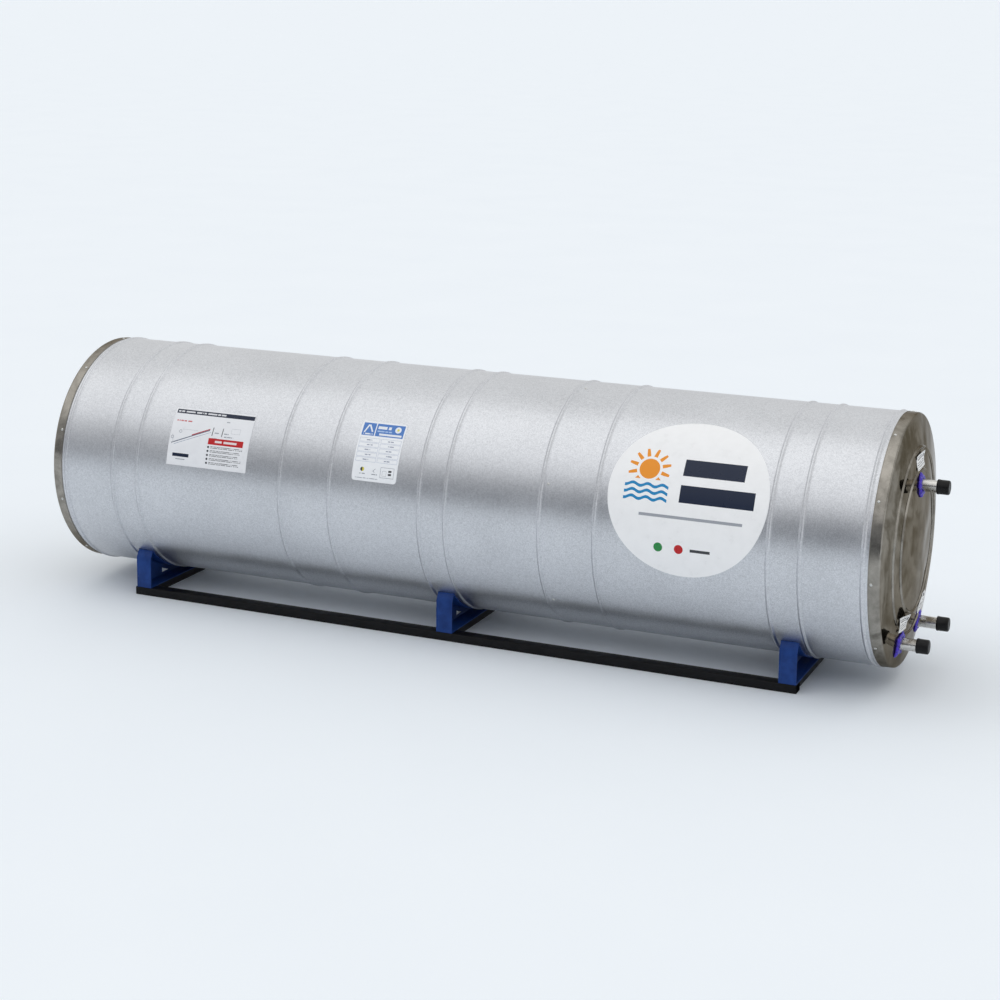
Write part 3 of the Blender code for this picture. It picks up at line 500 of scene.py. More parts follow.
def rating_print():
    """Rating plate: blue heading, a table of two columns and three small symbols."""
    made = Print("rating_print", (0.92, 0.94, 0.97))
    block, dashes, stroke = made.block, made.dashes, made.stroke
    white = (0.84, 0.87, 0.92)
    made.lay(block, SKY, (-0.066, -0.026, 0.044, 0.084), (-0.023, 0.066, 0.044, 0.084))
    made.lay(stroke, white, ((-0.059, 0.053), (-0.048, 0.078), 0.0046),
             ((-0.046, 0.078), (-0.033, 0.056), 0.0046))
    made.lay(dashes, white, (-0.061, -0.031, 0.0465, 0.0515, 1, 0.0022, 0.8),
             (-0.018, 0.024, 0.066, 0.077, 1, 0.0050, 0.8))
    made.lay(dashes, (0.40, 0.55, 0.82), (-0.018, 0.028, 0.057, 0.063, 1, 0.0022))
    made.lay(block, white, (-0.010, 0.061, 0.0475, 0.0535))
    made.lay(made.disc, white, (0.046, 0.069, 0.0098))
    made.lay(made.disc, (0.72, 0.66, 0.10), (0.046, 0.069, 0.0038))
    for column in (-0.066, 0.002):
        for row in range(5):
            low = 0.0245 - 0.0145 * row
            u = column + 0.030 + 0.004 * (row % 2)
            made.lay(made.frame, (0.38, 0.44, 0.58),
                     (column, column + 0.064, low, low + 0.0125, 0.0008))
            made.lay(dashes, (0.30, 0.33, 0.42), (u - 0.008, u + 0.010, low + 0.004, low + 0.0085,
                                                  1, 0.0018))
    symbol = made.disc(-0.040, -0.0555, 0.0062)
    made.ink(symbol * (made.u < -0.040), INK)
    made.ink(symbol * (made.u > -0.040), (0.70, 0.62, 0.10))
    made.lay(stroke, PALE_INK, ((-0.006, -0.0585), (0.002, -0.051), 0.0016),
             ((-0.006, -0.0585), (0.000, -0.062), 0.0016))
    made.lay(made.frame, (0.20, 0.22, 0.27), (0.018, 0.061, -0.075, -0.045, 0.0010))
    made.lay(made.frame, PALE_INK, (0.024, 0.037, -0.070, -0.055, 0.0008))
    made.lay(block, INK, *((0.043, 0.053, v - 0.0028, v + 0.0028) for v in (-0.055, -0.064)))
    made.lay(dashes, PALE_INK, *((u, u + 0.018, -0.070, -0.066) for u in (-0.048, -0.009)))
    made.lay(dashes, PALE_INK, (-0.060, 0.012, -0.082, -0.079, 1, 0.0014))
    return made.done()


def tag_print():
    """Small card with a frame and lines of print."""
    made = Print("tag_print", (0.90, 0.90, 0.89), 0.5)
    made.lay(made.frame, (0.18, 0.18, 0.19), (-0.040, 0.040, -0.0175, 0.0175, 0.0009))
    made.lay(made.dashes, INK, (-0.036, 0.020, 0.004, 0.015, 2, 0.0030, 0.55))
    made.lay(made.dashes, (0.14, 0.14, 0.15), (-0.036, 0.036, -0.015, 0.001, 3, 0.0024, 0.45))
    made.lay(made.block, (0.10, 0.10, 0.11), (0.025, 0.036, 0.004, 0.014))
    return made.done()


def floor_finish():
    """Plain pale studio floor."""
    made = Finish("studio_floor", (0.87, 0.91, 0.96), 0.0, 0.75, specular_ior_level=0.1)
    tone = made.grain(1.6, 3.0, 0.5)
    return made.set(base_color=made.blend(tone, (0.845, 0.895, 0.950),
                                          (0.875, 0.922, 0.972))).material


SHEET_STEEL = coated_sheet()
MIRROR = mirror_steel()
PIPE_STEEL = pipe_steel()
SILICONE = sealant()
CAP_PLASTIC = moulded("cap_plastic", (0.0045, 0.0045, 0.005), (0.016, 0.016, 0.017), 0.42, 0.00006)
COVER_PLASTIC = moulded("cover_plastic", (0.011, 0.011, 0.012), (0.026, 0.026, 0.028), 0.50,
                        0.00010)
GREY_PLASTIC = moulded("grey_plastic", (0.24, 0.25, 0.27), (0.34, 0.35, 0.37), 0.50, 0.00008)
BRASS = brass()
RUBBER = rubber()
BLUE = enamel("blue_enamel", (0.008, 0.034, 0.160), (0.016, 0.060, 0.255), 0.42, 0.5)
BLACK = enamel("black_enamel", (0.0028, 0.0028, 0.0036), (0.0065, 0.0065, 0.0078), 0.46, 0.6)
ZINC = zinc()

# ---- shaping ----------------------------------------------------------------------------


def linked(name, data):
    """A new object in the scene."""
    made = bpy.data.objects.new(name, data)
    bpy.context.scene.collection.objects.link(made)
    return made


def plain(holder):
    """The evaluated mesh of an object, which is then removed."""
    graph = bpy.context.evaluated_depsgraph_get()
    made = bpy.data.meshes.new_from_object(holder.evaluated_get(graph))
    bpy.data.objects.remove(holder)
    return made


def modified(mesh, kind, **settings):
    """The mesh as one modifier leaves it."""
    holder = linked("holder", mesh)
    step = holder.modifiers.new("step", kind)
    for key, value in settings.items():
        setattr(step, key, value)
    return plain(holder)


class Edited:
    """A mesh opened for edits, which are written back at the end."""

    def __init__(self, mesh):
        self.mesh, self.work = mesh, bmesh.new()

    def __enter__(self):
        self.work.from_mesh(self.mesh)
        return self.work

    def __exit__(self, *_):
        self.work.to_mesh(self.mesh)
        self.work.free()


class Tree(Graph):
    """A Geometry Nodes tree, with named inputs."""

    def __init__(self, name, **inputs):
        super().__init__(bpy.data.node_groups.new(name, "GeometryNodeTree"))
        face = self.tree.interface
        face.new_socket("Geometry", in_out="OUTPUT", socket_type="NodeSocketGeometry")
        self.names = {key: face.new_socket(key, in_out="INPUT", socket_type="NodeSocket" + kind)
                      for key, kind in {"Geometry": "Geometry", **inputs}.items()}
        self.start = self.tree.nodes.new("NodeGroupInput")
        self.end = self.tree.nodes.new("NodeGroupOutput")

    def input(self, name="Geometry"):
        """A named input."""
        return Wire(self, self.start.outputs[name])

    def close(self, geometry):
        """End the tree: real geometry, with its material."""
        real = self.node("GeometryNodeRealizeInstances", {}, {0: geometry})
        self.put(self.end.inputs[0], self.node("GeometryNodeSetMaterial", {}, {
            "Geometry": real, "Material": self.input("Material")}))
        return self

    def make(self, mesh, **values):
        """Run the tree on a mesh and give the plain mesh that it makes."""
        holder = linked("holder", mesh)
        step = holder.modifiers.new("shape", "NODES")
        step.node_group = self.tree
        for key, value in values.items():
            step[self.names[key].identifier] = value
        return plain(holder)


def turning_tree():
    """Turns a line of points (X, radius) once round the X axis."""
    made = Tree("turning", Flats="Int", Material="Material")
    line, flats = made.input(), made.input("Flats")
    around = flats + 1.0
    size = made.node("GeometryNodeAttributeDomainSize", {"component": "MESH"}, {0: line})
    grid = made.node("GeometryNodeMeshGrid", {}, {"Size X": 1.0, "Size Y": 1.0,
                                                  "Vertices X": size, "Vertices Y": around})
    index = made.node("GeometryNodeInputIndex")
    station = ((index + 0.5) / around).function("FLOOR")
    angle = (index - station * around) * (2 * pi / flats)
    found = made.node("GeometryNodeSampleIndex", {"data_type": "FLOAT_VECTOR", "domain": "POINT"},
                      {"Geometry": line, "Value": made.node("GeometryNodeInputPosition"),
                       "Index": station})
    along, _, radius = made.axes(found)
    spun = made.node("ShaderNodeCombineXYZ", {}, {0: along, 1: radius * angle.function("COSINE"),
                                                  2: radius * angle.function("SINE")})
    moved = made.node("GeometryNodeSetPosition", {}, {"Geometry": grid, "Position": spun})
    closed = made.node("GeometryNodeMergeByDistance", {}, {"Geometry": moved,
                                                           "Distance": 0.000004})
    return made.close(made.node("GeometryNodeSetShadeSmooth", {}, {"Geometry": closed}))


def setting_tree():
    """Sets a small piece on every point, with its own Z along the point's "outward"."""
    made = Tree("setting", Piece="Object", Material="Material")
    small = made.node("GeometryNodeObjectInfo", {"transform_space": "ORIGINAL"},
                      {"Object": made.input("Piece")}, "Geometry")
    outward = made.node("GeometryNodeInputNamedAttribute", {"data_type": "FLOAT_VECTOR"},
                        {"Name": "outward"})
    turn = made.node("FunctionNodeAlignRotationToVector", {"axis": "Z"}, {"Vector": outward})
    points = made.node("GeometryNodeMeshToPoints", {}, {0: made.input()})
    return made.close(made.node("GeometryNodeInstanceOnPoints", {}, {
        "Points": points, "Instance": small, "Rotation": turn}))


def tube_tree():
    """Sweeps a round section along a line of points."""
    made = Tree("tube", Radius="Float", Flats="Int", Material="Material")
    line = made.node("GeometryNodeMeshToCurve", {}, {0: made.input()})
    ring = made.node("GeometryNodeCurvePrimitiveCircle", {}, {"Resolution": made.input("Flats"),
                                                              "Radius": made.input("Radius")})
    swept = made.node("GeometryNodeCurveToMesh", {}, {"Curve": line, "Profile Curve": ring})
    return made.close(made.node("GeometryNodeSetShadeSmooth", {}, {"Geometry": swept}))


TURNING = turning_tree()
SETTING = setting_tree()
TUBE = tube_tree()


def line_mesh(points):
    """A mesh of points joined one to the next."""
    made = bpy.data.meshes.new("line")
    made.from_pydata(points, [(i, i + 1) for i in range(len(points) - 1)], [])
    return made


def outwards(mesh):
    """Turn a closed mesh the right way out."""
    with Edited(mesh) as work:
        bmesh.ops.remove_doubles(work, verts=work.verts, dist=0.000002)
        bmesh.ops.dissolve_degenerate(work, edges=work.edges, dist=0.000001)
        if work.calc_volume(signed=True) < 0:
            bmesh.ops.reverse_faces(work, faces=work.faces)
    return mesh


def creased(mesh, angle):
    """Smooth shading, with hard edges above an angle."""
    mesh.polygons.foreach_set("use_smooth", [True] * len(mesh.polygons))
    mesh.set_sharp_from_angle(angle=radians(angle))
    return mesh


def spun(outline, flats, material):
    """An outline of (distance along X, radius) points turned once round the X axis."""
    return TURNING.make(line_mesh([(x, 0.0, r) for x, r in outline]), Flats=flats,
                        Material=material)


def set_in(middle, side):
    """Puts a turned shape on a line through (Y, Z), on the +X or the -X side."""
    return Matrix.Translation(at(0, *middle)) @ Matrix.Diagonal((side, 1, 1, 1))


def turned(outline, material, flats=ROUND, side=1, middle=(0.0, 0.0), crease=40):
    """A turned mesh from (distance along X, radius) points, closed back to the first one."""
    points = list(outline)
    if points[0][1] > 0 or points[-1][1] > 0:
        points.append(points[0])
    mesh = spun(points, flats, material)
    mesh.transform(set_in(middle, side))
    return creased(outwards(mesh), crease)


def small_turned(outline, flats=16):
    """A small turned mesh about its own Z, from (height, radius) points."""
    mesh = spun(outline, flats, ZINC)
    mesh.transform(Matrix.Rotation(radians(-90), 4, "Y"))
    return creased(outwards(mesh), 50)


def small_block(size, edge=0.0, segments=1, profile=0.0, middle=(0, 0, 0)):
    """A small block with its edges rounded over."""
    mesh = bpy.data.meshes.new("block")
    with Edited(mesh) as work:
        bmesh.ops.create_cube(work, size=1, matrix=Matrix.Translation(middle)
                              @ Matrix.Diagonal((*size, 1)))
        if edge:
            bmesh.ops.bevel(work, geom=list(work.edges), offset=edge, segments=segments,
                            affect="EDGES", profile=profile)
    return mesh


def piece(name, mesh, body="tank", nodes=(), material=None):
    """A finished piece: it rides on its body and stands for its CAD nodes."""
    made = linked(name, mesh)
    if material is not None:
        mesh.materials.clear()
        mesh.materials.append(material)
    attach(made, body)
    if nodes:
        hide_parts(*nodes)
    return made


def bevelled(mesh, width, angle=50, segments=2):
    """The mesh with its hard edges rounded over."""
    return creased(modified(mesh, "BEVEL", width=width, segments=segments, limit_method="ANGLE",
                            angle_limit=radians(angle), harden_normals=False), 34)


def softened(node, material, width, angle=50, segments=2):
    """A copy of a CAD node with its edges rounded."""
    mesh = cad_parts[node].data.copy()
    with Edited(mesh) as work:
        bmesh.ops.remove_doubles(work, verts=work.verts, dist=0.00001)
        bmesh.ops.dissolve_limit(work, angle_limit=radians(1), verts=work.verts, edges=work.edges)
    mesh.materials.clear()
    mesh.materials.append(material)
    return bevelled(mesh, width, angle, segments)


def plate(outlines, low, high, upright=None):
    """A flat outline in Y and Z with its holes, thick along X. Upright turns it another way."""
    curve = bpy.data.curves.new("outline", "CURVE")
    curve.dimensions, curve.fill_mode = "2D", "BOTH"
    curve.extrude = (high - low) / 2
    for outline in outlines:
        line = curve.splines.new("POLY")
        line.points.add(len(outline) - 1)
        for point, (y, z) in zip(line.points, outline):
            point.co = (y, z, 0, 1)
        line.use_cyclic_u = True
    mesh = plain(linked("outline", curve))
    stand = upright or Matrix(((0, 0, 1, 0), (1, 0, 0, 0), (0, 1, 0, 0), (0, 0, 0, 1)))
    mesh.transform(stand @ Matrix.Translation((0, 0, (low + high) / 2)))
    mesh.transform(Matrix.Translation(AXIS))
    with Edited(mesh) as work:
        bmesh.ops.remove_doubles(work, verts=work.verts, dist=0.00001)
        bmesh.ops.recalc_face_normals(work, faces=work.faces)
    return mesh


def joined(mesh, other, operation="UNION"):
    """Two closed meshes made one, or one cut from the other."""
    tool = linked("tool", other)
    made = modified(mesh, "BOOLEAN", operation=operation, solver="EXACT", object=tool)
    bpy.data.objects.remove(tool)
    return made


def set_out(places, small, material):
    """One mesh of a small piece repeated at many (place, outward) pairs."""
    points = bpy.data.meshes.new("points")
    points.from_pydata([place for place, _ in places], [], [])
    way = points.attributes.new("outward", "FLOAT_VECTOR", "POINT")
    way.data.foreach_set("vector", [number for _, outward in places for number in outward])
    sample = linked("sample", small)
    mesh = SETTING.make(points, Piece=sample, Material=material)
    bpy.data.objects.remove(sample)
    return mesh


def centre(node):
    """The middle of a CAD node's box."""
    low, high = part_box(node)
    return (low + high) / 2


def spokes(count):
    """Cosine and sine of angles spread evenly round a circle."""
    return [(cos(2 * pi * step / count), sin(2 * pi * step / count)) for step in range(count)]


# ---- jacket -----------------------------------------------------------------------------

BEAD_STEPS = 10


def bead_stations(middle, half, steps=BEAD_STEPS):
    """Places along a bead where its outline has a point."""
    inside = [middle + half * step / steps for step in range(-steps, steps + 1)]
    return [middle - half * 1.15, *inside, middle + half * 1.15]


def jacket_outline(low, high, low_neck, high_neck, beads):
    """Outer and inner line of a jacket sheet whose ends may be set down by a neck."""
    run = 0.004

    def radius(x):
        down = 0.0
        if low_neck is not None:
            down = max(down, min(1.0, (low_neck + run - x) / run))
        if high_neck is not None:
            down = max(down, min(1.0, (x - high_neck + run) / run))
        lift = sum(swell(x - middle, BEAD_HALF, BEAD_HEIGHT) for middle in beads)
        return BODY_RADIUS - (SHEET + GAP) * down + lift

    stations = {low, high}
    for middle in beads:
        stations.update(bead_stations(middle, BEAD_HALF))
    for neck, way in ((low_neck, 1), (high_neck, -1)):
        if neck is not None:
            stations.update((neck, neck + way * run / 2, neck + way * run))
    stations = sorted(stations)
    outer = [(x, radius(x)) for x in stations]
    inner = [(x, r - SHEET) for x, r in outer]
    lip = SHEET * 0.3
    ends = [(low - lip / 2, outer[0][1] - SHEET / 2)], [(high + lip / 2, outer[-1][1] - SHEET / 2)]
    return outer + ends[1] + inner[::-1] + ends[0]


sheet_end = HALF - CORNER - 2 * GAP
skirt_edge = HALF - SKIRT - GAP
all_beads = sorted((*BEADS, END_BEAD, -END_BEAD))

piece("jacket_long", turned(jacket_outline(-sheet_end, SEAM_X + LAP, -skirt_edge, SEAM_X - GAP,
                                           [x for x in all_beads if x < SEAM_X]), SHEET_STEEL),
      nodes=["jacket_long_sheet"])
piece("jacket_short", turned(jacket_outline(SEAM_X, sheet_end, None, skirt_edge,
                                            [x for x in all_beads if x > SEAM_X]), SHEET_STEEL),
      nodes=["jacket_short_sheet"])

# ---- end caps ---------------------------------------------------------------------------


def dome_line(shift):
    """The dome from its crown to the corner."""
    radii = {0.0, 0.004, FACE_RADIUS}
    radii.update(FACE_RADIUS * step / 26 for step in range(1, 26))
    for ring in RINGS:
        radii = {radius for radius in radii if abs(radius - ring) > RING_HALF * 1.2}
        radii.update(bead_stations(ring, RING_HALF, 8))
    line = []
    for radius in sorted(radii):
        lift = sum(swell(radius - ring, RING_HALF, RING_HEIGHT) for ring in RINGS)
        line.append((HALF + dome(radius) + lift + shift, radius))
    return line


def end_cap_outline():
    """Pressed cap: dome, rounded corner, skirt and its rolled edge."""
    def corner(radius, steps=7):
        return [(HALF - CORNER + radius * sin(angle), FACE_RADIUS + radius * cos(angle))
                for angle in (pi / 2 * (1 - step / steps) for step in range(1, steps + 1))]

    lip = 0.0011
    hem = [(HALF - SKIRT + lip * (1 - cos(angle)), BODY_RADIUS + lip * sin(angle) * 0.8)
           for angle in (pi * (1 - step / 6) for step in range(7))]
    outside = dome_line(0.0) + corner(CORNER) + hem
    inside = dome_line(-SHEET) + corner(CORNER - SHEET) + [(HALF - SKIRT, BODY_RADIUS - SHEET)]
    return outside + inside[::-1]


def end_cap(name, side, node, holes):
    """An end cap with its holes cut."""
    mesh = turned(end_cap_outline(), MIRROR, side=side, crease=50)
    near, far = HALF - 0.02, HALF + 0.05
    for y, z, radius in holes:
        drill = spun([(near, 0.0), (near, radius), (far, radius), (far, 0.0)], 40, MIRROR)
        drill.transform(set_in((y, z), side))
        mesh = joined(mesh, outwards(drill), "DIFFERENCE")
    return piece(name, creased(mesh, 50), nodes=[node])


PIPES = {"hot_outlet": ((0.0, 0.157), 1), "cold_inlet": ((0.111, -0.260), 1),
         "collector_feed": ((-0.111, -0.260), 1), "collector_return": ((0.0, 0.125), -1)}
PIPE_HOLE = PIPE_RADIUS + 0.0008


def side_hole(node):
    """Where a round node leaves the cap on the -X side, with the radius of its hole."""
    low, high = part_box(node)
    middle = centre(node) - AXIS
    return middle.y, middle.z, (high.y - low.y) / 2 + HOLE_GAP


end_cap("end_cap_with_pipes", 1, "end_cap_pipes",
        [(*middle, PIPE_HOLE) for middle, side in PIPES.values() if side > 0])
end_cap("end_cap_with_heater", -1, "end_cap_heater",
        [(*middle, PIPE_HOLE) for middle, side in PIPES.values() if side < 0]
        + [side_hole(node) for node in ("heater_boss", "anode_boss", "thermostat_pocket")])

# ---- pipes, caps and seals --------------------------------------------------------------


def pipe(name, middle, side):
    """A service pipe along its whole route, from its end outside to the tank."""
    bent = name + "_bend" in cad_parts
    low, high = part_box(name)
    outer = (high.x if side > 0 else low.x) - AXIS.x
    if bent:
        low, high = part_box(name + "_bend")
    inner = (low.x if side > 0 else high.x) - AXIS.x
    inside = tuple(c * BEND_INWARDS for c in middle) if bent else middle
    bend_start = side * (HALF - SHEET - GAP - 0.003)
    bend_end = inner + side * BEND_FOOT
    route = [(outer, *middle), (side * HALF, *middle)]
    for step in range(25):
        share = step / 24
        blend = share * share * (3 - 2 * share)
        y, z = (a + (b - a) * blend for a, b in zip(middle, inside))
        route.append((bend_start + (bend_end - bend_start) * share, y, z))
    route.append((inner, *inside))
    mesh = TUBE.make(line_mesh([tuple(at(*point)) for point in route]), Radius=PIPE_RADIUS,
                     Flats=48, Material=PIPE_STEEL)
    with Edited(mesh) as work:
        bmesh.ops.recalc_face_normals(work, faces=work.faces)
        far = max(work.faces, key=lambda face: (face.calc_center_median() - AXIS).length)
        spine = at(far.calc_center_median().x - AXIS.x, *middle)
        if far.normal.dot(far.calc_center_median() - spine) < 0:
            bmesh.ops.reverse_faces(work, faces=work.faces)
    mesh = creased(modified(mesh, "SOLIDIFY", thickness=PIPE_WALL, offset=-1.0), 40)
    piece(name + "_pipe", mesh, nodes=[name, name + "_bend"][:2 if bent else 1])


def pipe_cap(name, middle, side):
    """Push-on cap: rounded end, a little draft and a rim bead."""
    low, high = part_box(name + "_cap")
    end = max(abs(high.x - AXIS.x), abs(low.x - AXIS.x))
    skin = (high.z - low.z) / 2
    bore = PIPE_RADIUS + 0.00035
    mouth = end - PLUG_LENGTH
    turn = 0.0045
    outline = [(end - 0.0003, 0.0), (end, 0.003), (end, skin - turn - 0.0015)]
    outline += [(end - turn + turn * cos(a), skin - turn - 0.0004 + turn * sin(a))
                for a in (radians(15 * step) for step in range(1, 7))]
    outline += [(mouth + 0.0062, skin - 0.0002), (mouth + 0.0052, skin + 0.0004),
                (mouth + 0.0012, skin + 0.0004), (mouth, skin - 0.0005), (mouth, bore + 0.0006),
                (mouth + 0.0008, bore), (end - 0.003, bore), (end - 0.003, 0.0)]
    mesh = turned(outline, CAP_PLASTIC, 72, side, middle, crease=38)
    piece(name + "_push_cap", mesh, name + "_cap_body", [name + "_cap"])


def seal(name, middle, side, lobes, seed):
    """A hand-pressed ring of silicone on the dome, thicker here and there."""
    around, across = 96, 14
    bore = PIPE_RADIUS + 0.0003
    points, faces = [], []
    for step in range(around):
        angle = 2 * pi * step / around
        uneven = noise.noise(Vector((cos(angle) * 1.9, sin(angle) * 1.9, seed)))
        uneven += 0.5 * noise.noise(Vector((cos(angle) * 5.0, sin(angle) * 5.0, seed + 7)))
        reach = SEAL_RADIUS * (0.99 + 0.16 * uneven)
        height = SEAL_HEIGHT * (1.0 + 0.42 * uneven)
        for lobe_angle, lobe_width, extra in lobes:
            apart = (angle - radians(lobe_angle) + pi) % (2 * pi) - pi
            reach += extra * max(0.0, cos(min(abs(apart) / radians(lobe_width), 1.0) * pi / 2)) ** 2
        for row in range(across):
            share = row / (across - 1)
            radius = bore + (reach - bore) * share
            y, z = middle[0] + radius * cos(angle), middle[1] + radius * sin(angle)
            bulge = sqrt(max(0.0, 1 - (share * 1.6 - 0.6) ** 2)) if share > 0.375 else (
                0.55 + 0.45 * sin(share / 0.375 * pi / 2))
            lump = 0.0009 * noise.noise(Vector((y, z, seed)) * 160.0)
            lift = GAP + max(0.0, height * bulge + lump * bulge)
            points.append(at(side * (HALF + dome(hypot(y, z)) + lift), y, z))
        for share in (1.0, 0.0):
            radius = bore + (reach * 0.995 - bore) * share
            y, z = middle[0] + radius * cos(angle), middle[1] + radius * sin(angle)
            points.append(at(side * (HALF + dome(hypot(y, z)) + GAP / 2), y, z))
    total = across + 2
    for step in range(around):
        following = (step + 1) % around
        for row in range(total):
            beside = (row + 1) % total
            faces.append((step * total + row, step * total + beside,
                          following * total + beside, following * total + row))
    mesh = bpy.data.meshes.new(name)
    mesh.from_pydata(points, [], faces)
    outwards(mesh)
    creased(mesh, 70)
    piece(name + "_sealant", mesh, nodes=[name + "_seal"], material=SILICONE)


LOBES = {"hot_outlet": [(95, 34, 0.004), (268, 30, 0.003)],
         "cold_inlet": [(78, 40, 0.005), (255, 30, 0.004)],
         "collector_feed": [(228, 30, 0.012), (82, 34, 0.006), (150, 26, 0.003)],
         "collector_return": [(200, 30, 0.004)]}
for seed, (name, (middle, side)) in enumerate(PIPES.items()):
    pipe(name, middle, side)
    pipe_cap(name, middle, side)
    seal(name, middle, side, LOBES[name], seed * 3.1 + 0.7)

# ---- rivets -----------------------------------------------------------------------------


def ring_of(count, first, x, radius):
    """Places round the tank at even angles above the front, with the way out of each."""
    places = []
    for step in range(count):
        angle = radians(first + 360 * step / count)
        outward = (0.0, -cos(angle), sin(angle))
        places.append((tuple(at(x, radius * outward[1], radius * outward[2])), outward))
    return places


RIVET = 0.0042
rivet = small_turned([(-0.0006, 0.0), (-0.0006, RIVET), (0.0002, RIVET), (0.0008, RIVET * 0.93),
                      (0.0016, RIVET * 0.66), (0.0020, RIVET * 0.36), (0.0020, RIVET * 0.20),
                      (0.0013, RIVET * 0.16), (0.0013, 0.0)], 14)
RIVETS_INSET = 0.022
places = ring_of(10, 30, HALF - RIVETS_INSET, BODY_RADIUS)
places += ring_of(10, 20, RIVETS_INSET - HALF, BODY_RADIUS)
places += ring_of(6, 21, SEAM_X + 0.007, BODY_RADIUS)
piece("rivets", set_out(places, rivet, ZINC))

# ---- stickers and tags ------------------------------------------------------------------


def label_mesh(outline, put, thickness, rings):
    """A thin closed film, from its flat outline and a function that puts it in place.

    The outline's points are metres from the label's middle, across and up, and they stay
    with the mesh as the attribute that the printed finishes read.
    """
    flat, faces = [(0.0, 0.0)], []
    count = len(outline)
    for ring in range(1, rings + 1):
        flat += [(u * ring / rings, v * ring / rings) for u, v in outline]
    for step in range(count):
        faces.append((0, 1 + step, 1 + (step + 1) % count))
    for ring in range(rings - 1):
        for step in range(count):
            a, b = 1 + ring * count + step, 1 + ring * count + (step + 1) % count
            faces.append((a, a + count, b + count, b))
    total = len(flat)
    points = [put(u, v, thickness) for u, v in flat] + [put(u, v, 0.0) for u, v in flat]
    faces += [tuple(index + total for index in face[::-1]) for face in faces]
    start = 1 + (rings - 1) * count
    for step in range(count):
        a, b = start + step, start + (step + 1) % count
        faces.append((a, a + total, b + total, b))
    made = bpy.data.meshes.new("film")
    made.from_pydata(points, [], faces)
    spot = made.attributes.new("print_place", "FLOAT_VECTOR", "POINT")
    spot.data.foreach_set("vector", [number for u, v in flat * 2 for number in (u, v, 0.0)])
    with Edited(made) as work:
        if work.calc_volume(signed=True) < 0:
            bmesh.ops.reverse_faces(work, faces=work.faces)
    return creased(made, 50)


def round_outline(radius, steps=120):
    """A circle's points."""
    return [(radius * c, radius * s) for c, s in spokes(steps)]


def card_outline(width, height, corner, pitch=0.007):
    """A rectangle with rounded corners, with points along its sides."""
    points = []
    u, v = width / 2 - corner, height / 2 - corner
    for quarter, (cu, cv) in enumerate(((u, v), (-u, v), (-u, -v), (u, -v))):
        for step in range(5):
            angle = pi / 2 * (quarter + step / 4)
            points.append((cu + corner * cos(angle), cv + corner * sin(angle)))
        run = 2 * (u if quarter % 2 == 0 else v)
        side = ceil(run / pitch)
        way = ((-1, 0), (0, -1), (1, 0), (0, 1))[quarter]
        start = points[-1]
        points += [(start[0] + way[0] * run * step / side, start[1] + way[1] * run * step / side)
                   for step in range(1, side)]
    return points


def on_jacket(x, angle):
    """Puts a label's points on the jacket, its middle at x and an angle above the front."""
    def put(u, v, lift):
        turn = radians(angle) + v / BODY_RADIUS
        radius = BODY_RADIUS + GAP + lift
        return at(x + u, -radius * cos(turn), radius * sin(turn))
    return put


def on_dome(y, z, tilt, curl):
    """Puts a tag's points on the dome of the pipe end, over its rings, with a lifted corner."""
    def put(u, v, lift):
        c, s = cos(radians(tilt)), sin(radians(tilt))
        there = hypot(y + u * c - v * s, z + u * s + v * c)
        over = max(max(0.0, RING_HEIGHT * (1 - (abs(there - ring) / 0.022) ** 2)) for ring in RINGS)
        lifted = curl * max(0.0, (u + v * 1.4) / 0.07) ** 2
        return at(HALF + dome(there) + over + 0.0004 + lifted + lift,
                  y + u * c - v * s, z + u * s + v * c)
    return put


piece("round_badge", label_mesh(round_outline(0.2255), on_jacket(0.7466, 23.2), LABEL, 40),
      nodes=["round_sticker"], material=badge_print())
piece("fitting_guide", label_mesh(card_outline(0.272, 0.176, 0.0012), on_jacket(-0.7396, 23.7),
                                  LABEL, 26),
      nodes=["guide_sticker"], material=guide_print())
piece("rating_plate", label_mesh(card_outline(0.142, 0.178, 0.009), on_jacket(-0.185, 27.1),
                                 LABEL, 26),
      nodes=["rating_sticker"], material=rating_print())
TAG_FINISH = tag_print()
for name, y, z, tilt, curl in (("hot_outlet", 0.004, 0.2235, 2, 0.0035),
                               ("cold_inlet", 0.112, -0.2035, 6, 0.0025),
                               ("collector_feed", -0.112, -0.2030, -6, 0.0045)):
    piece(name + "_card", label_mesh(card_outline(0.085, 0.040, 0.002, 0.005),
                                     on_dome(y, z, tilt, curl), LABEL, 8),
          nodes=[name + "_tag"], material=TAG_FINISH)

# ---- stand ------------------------------------------------------------------------------

FLOOR_LINE = -BODY_RADIUS - SADDLE_DROP
CRADLE = BODY_RADIUS + 2 * GAP


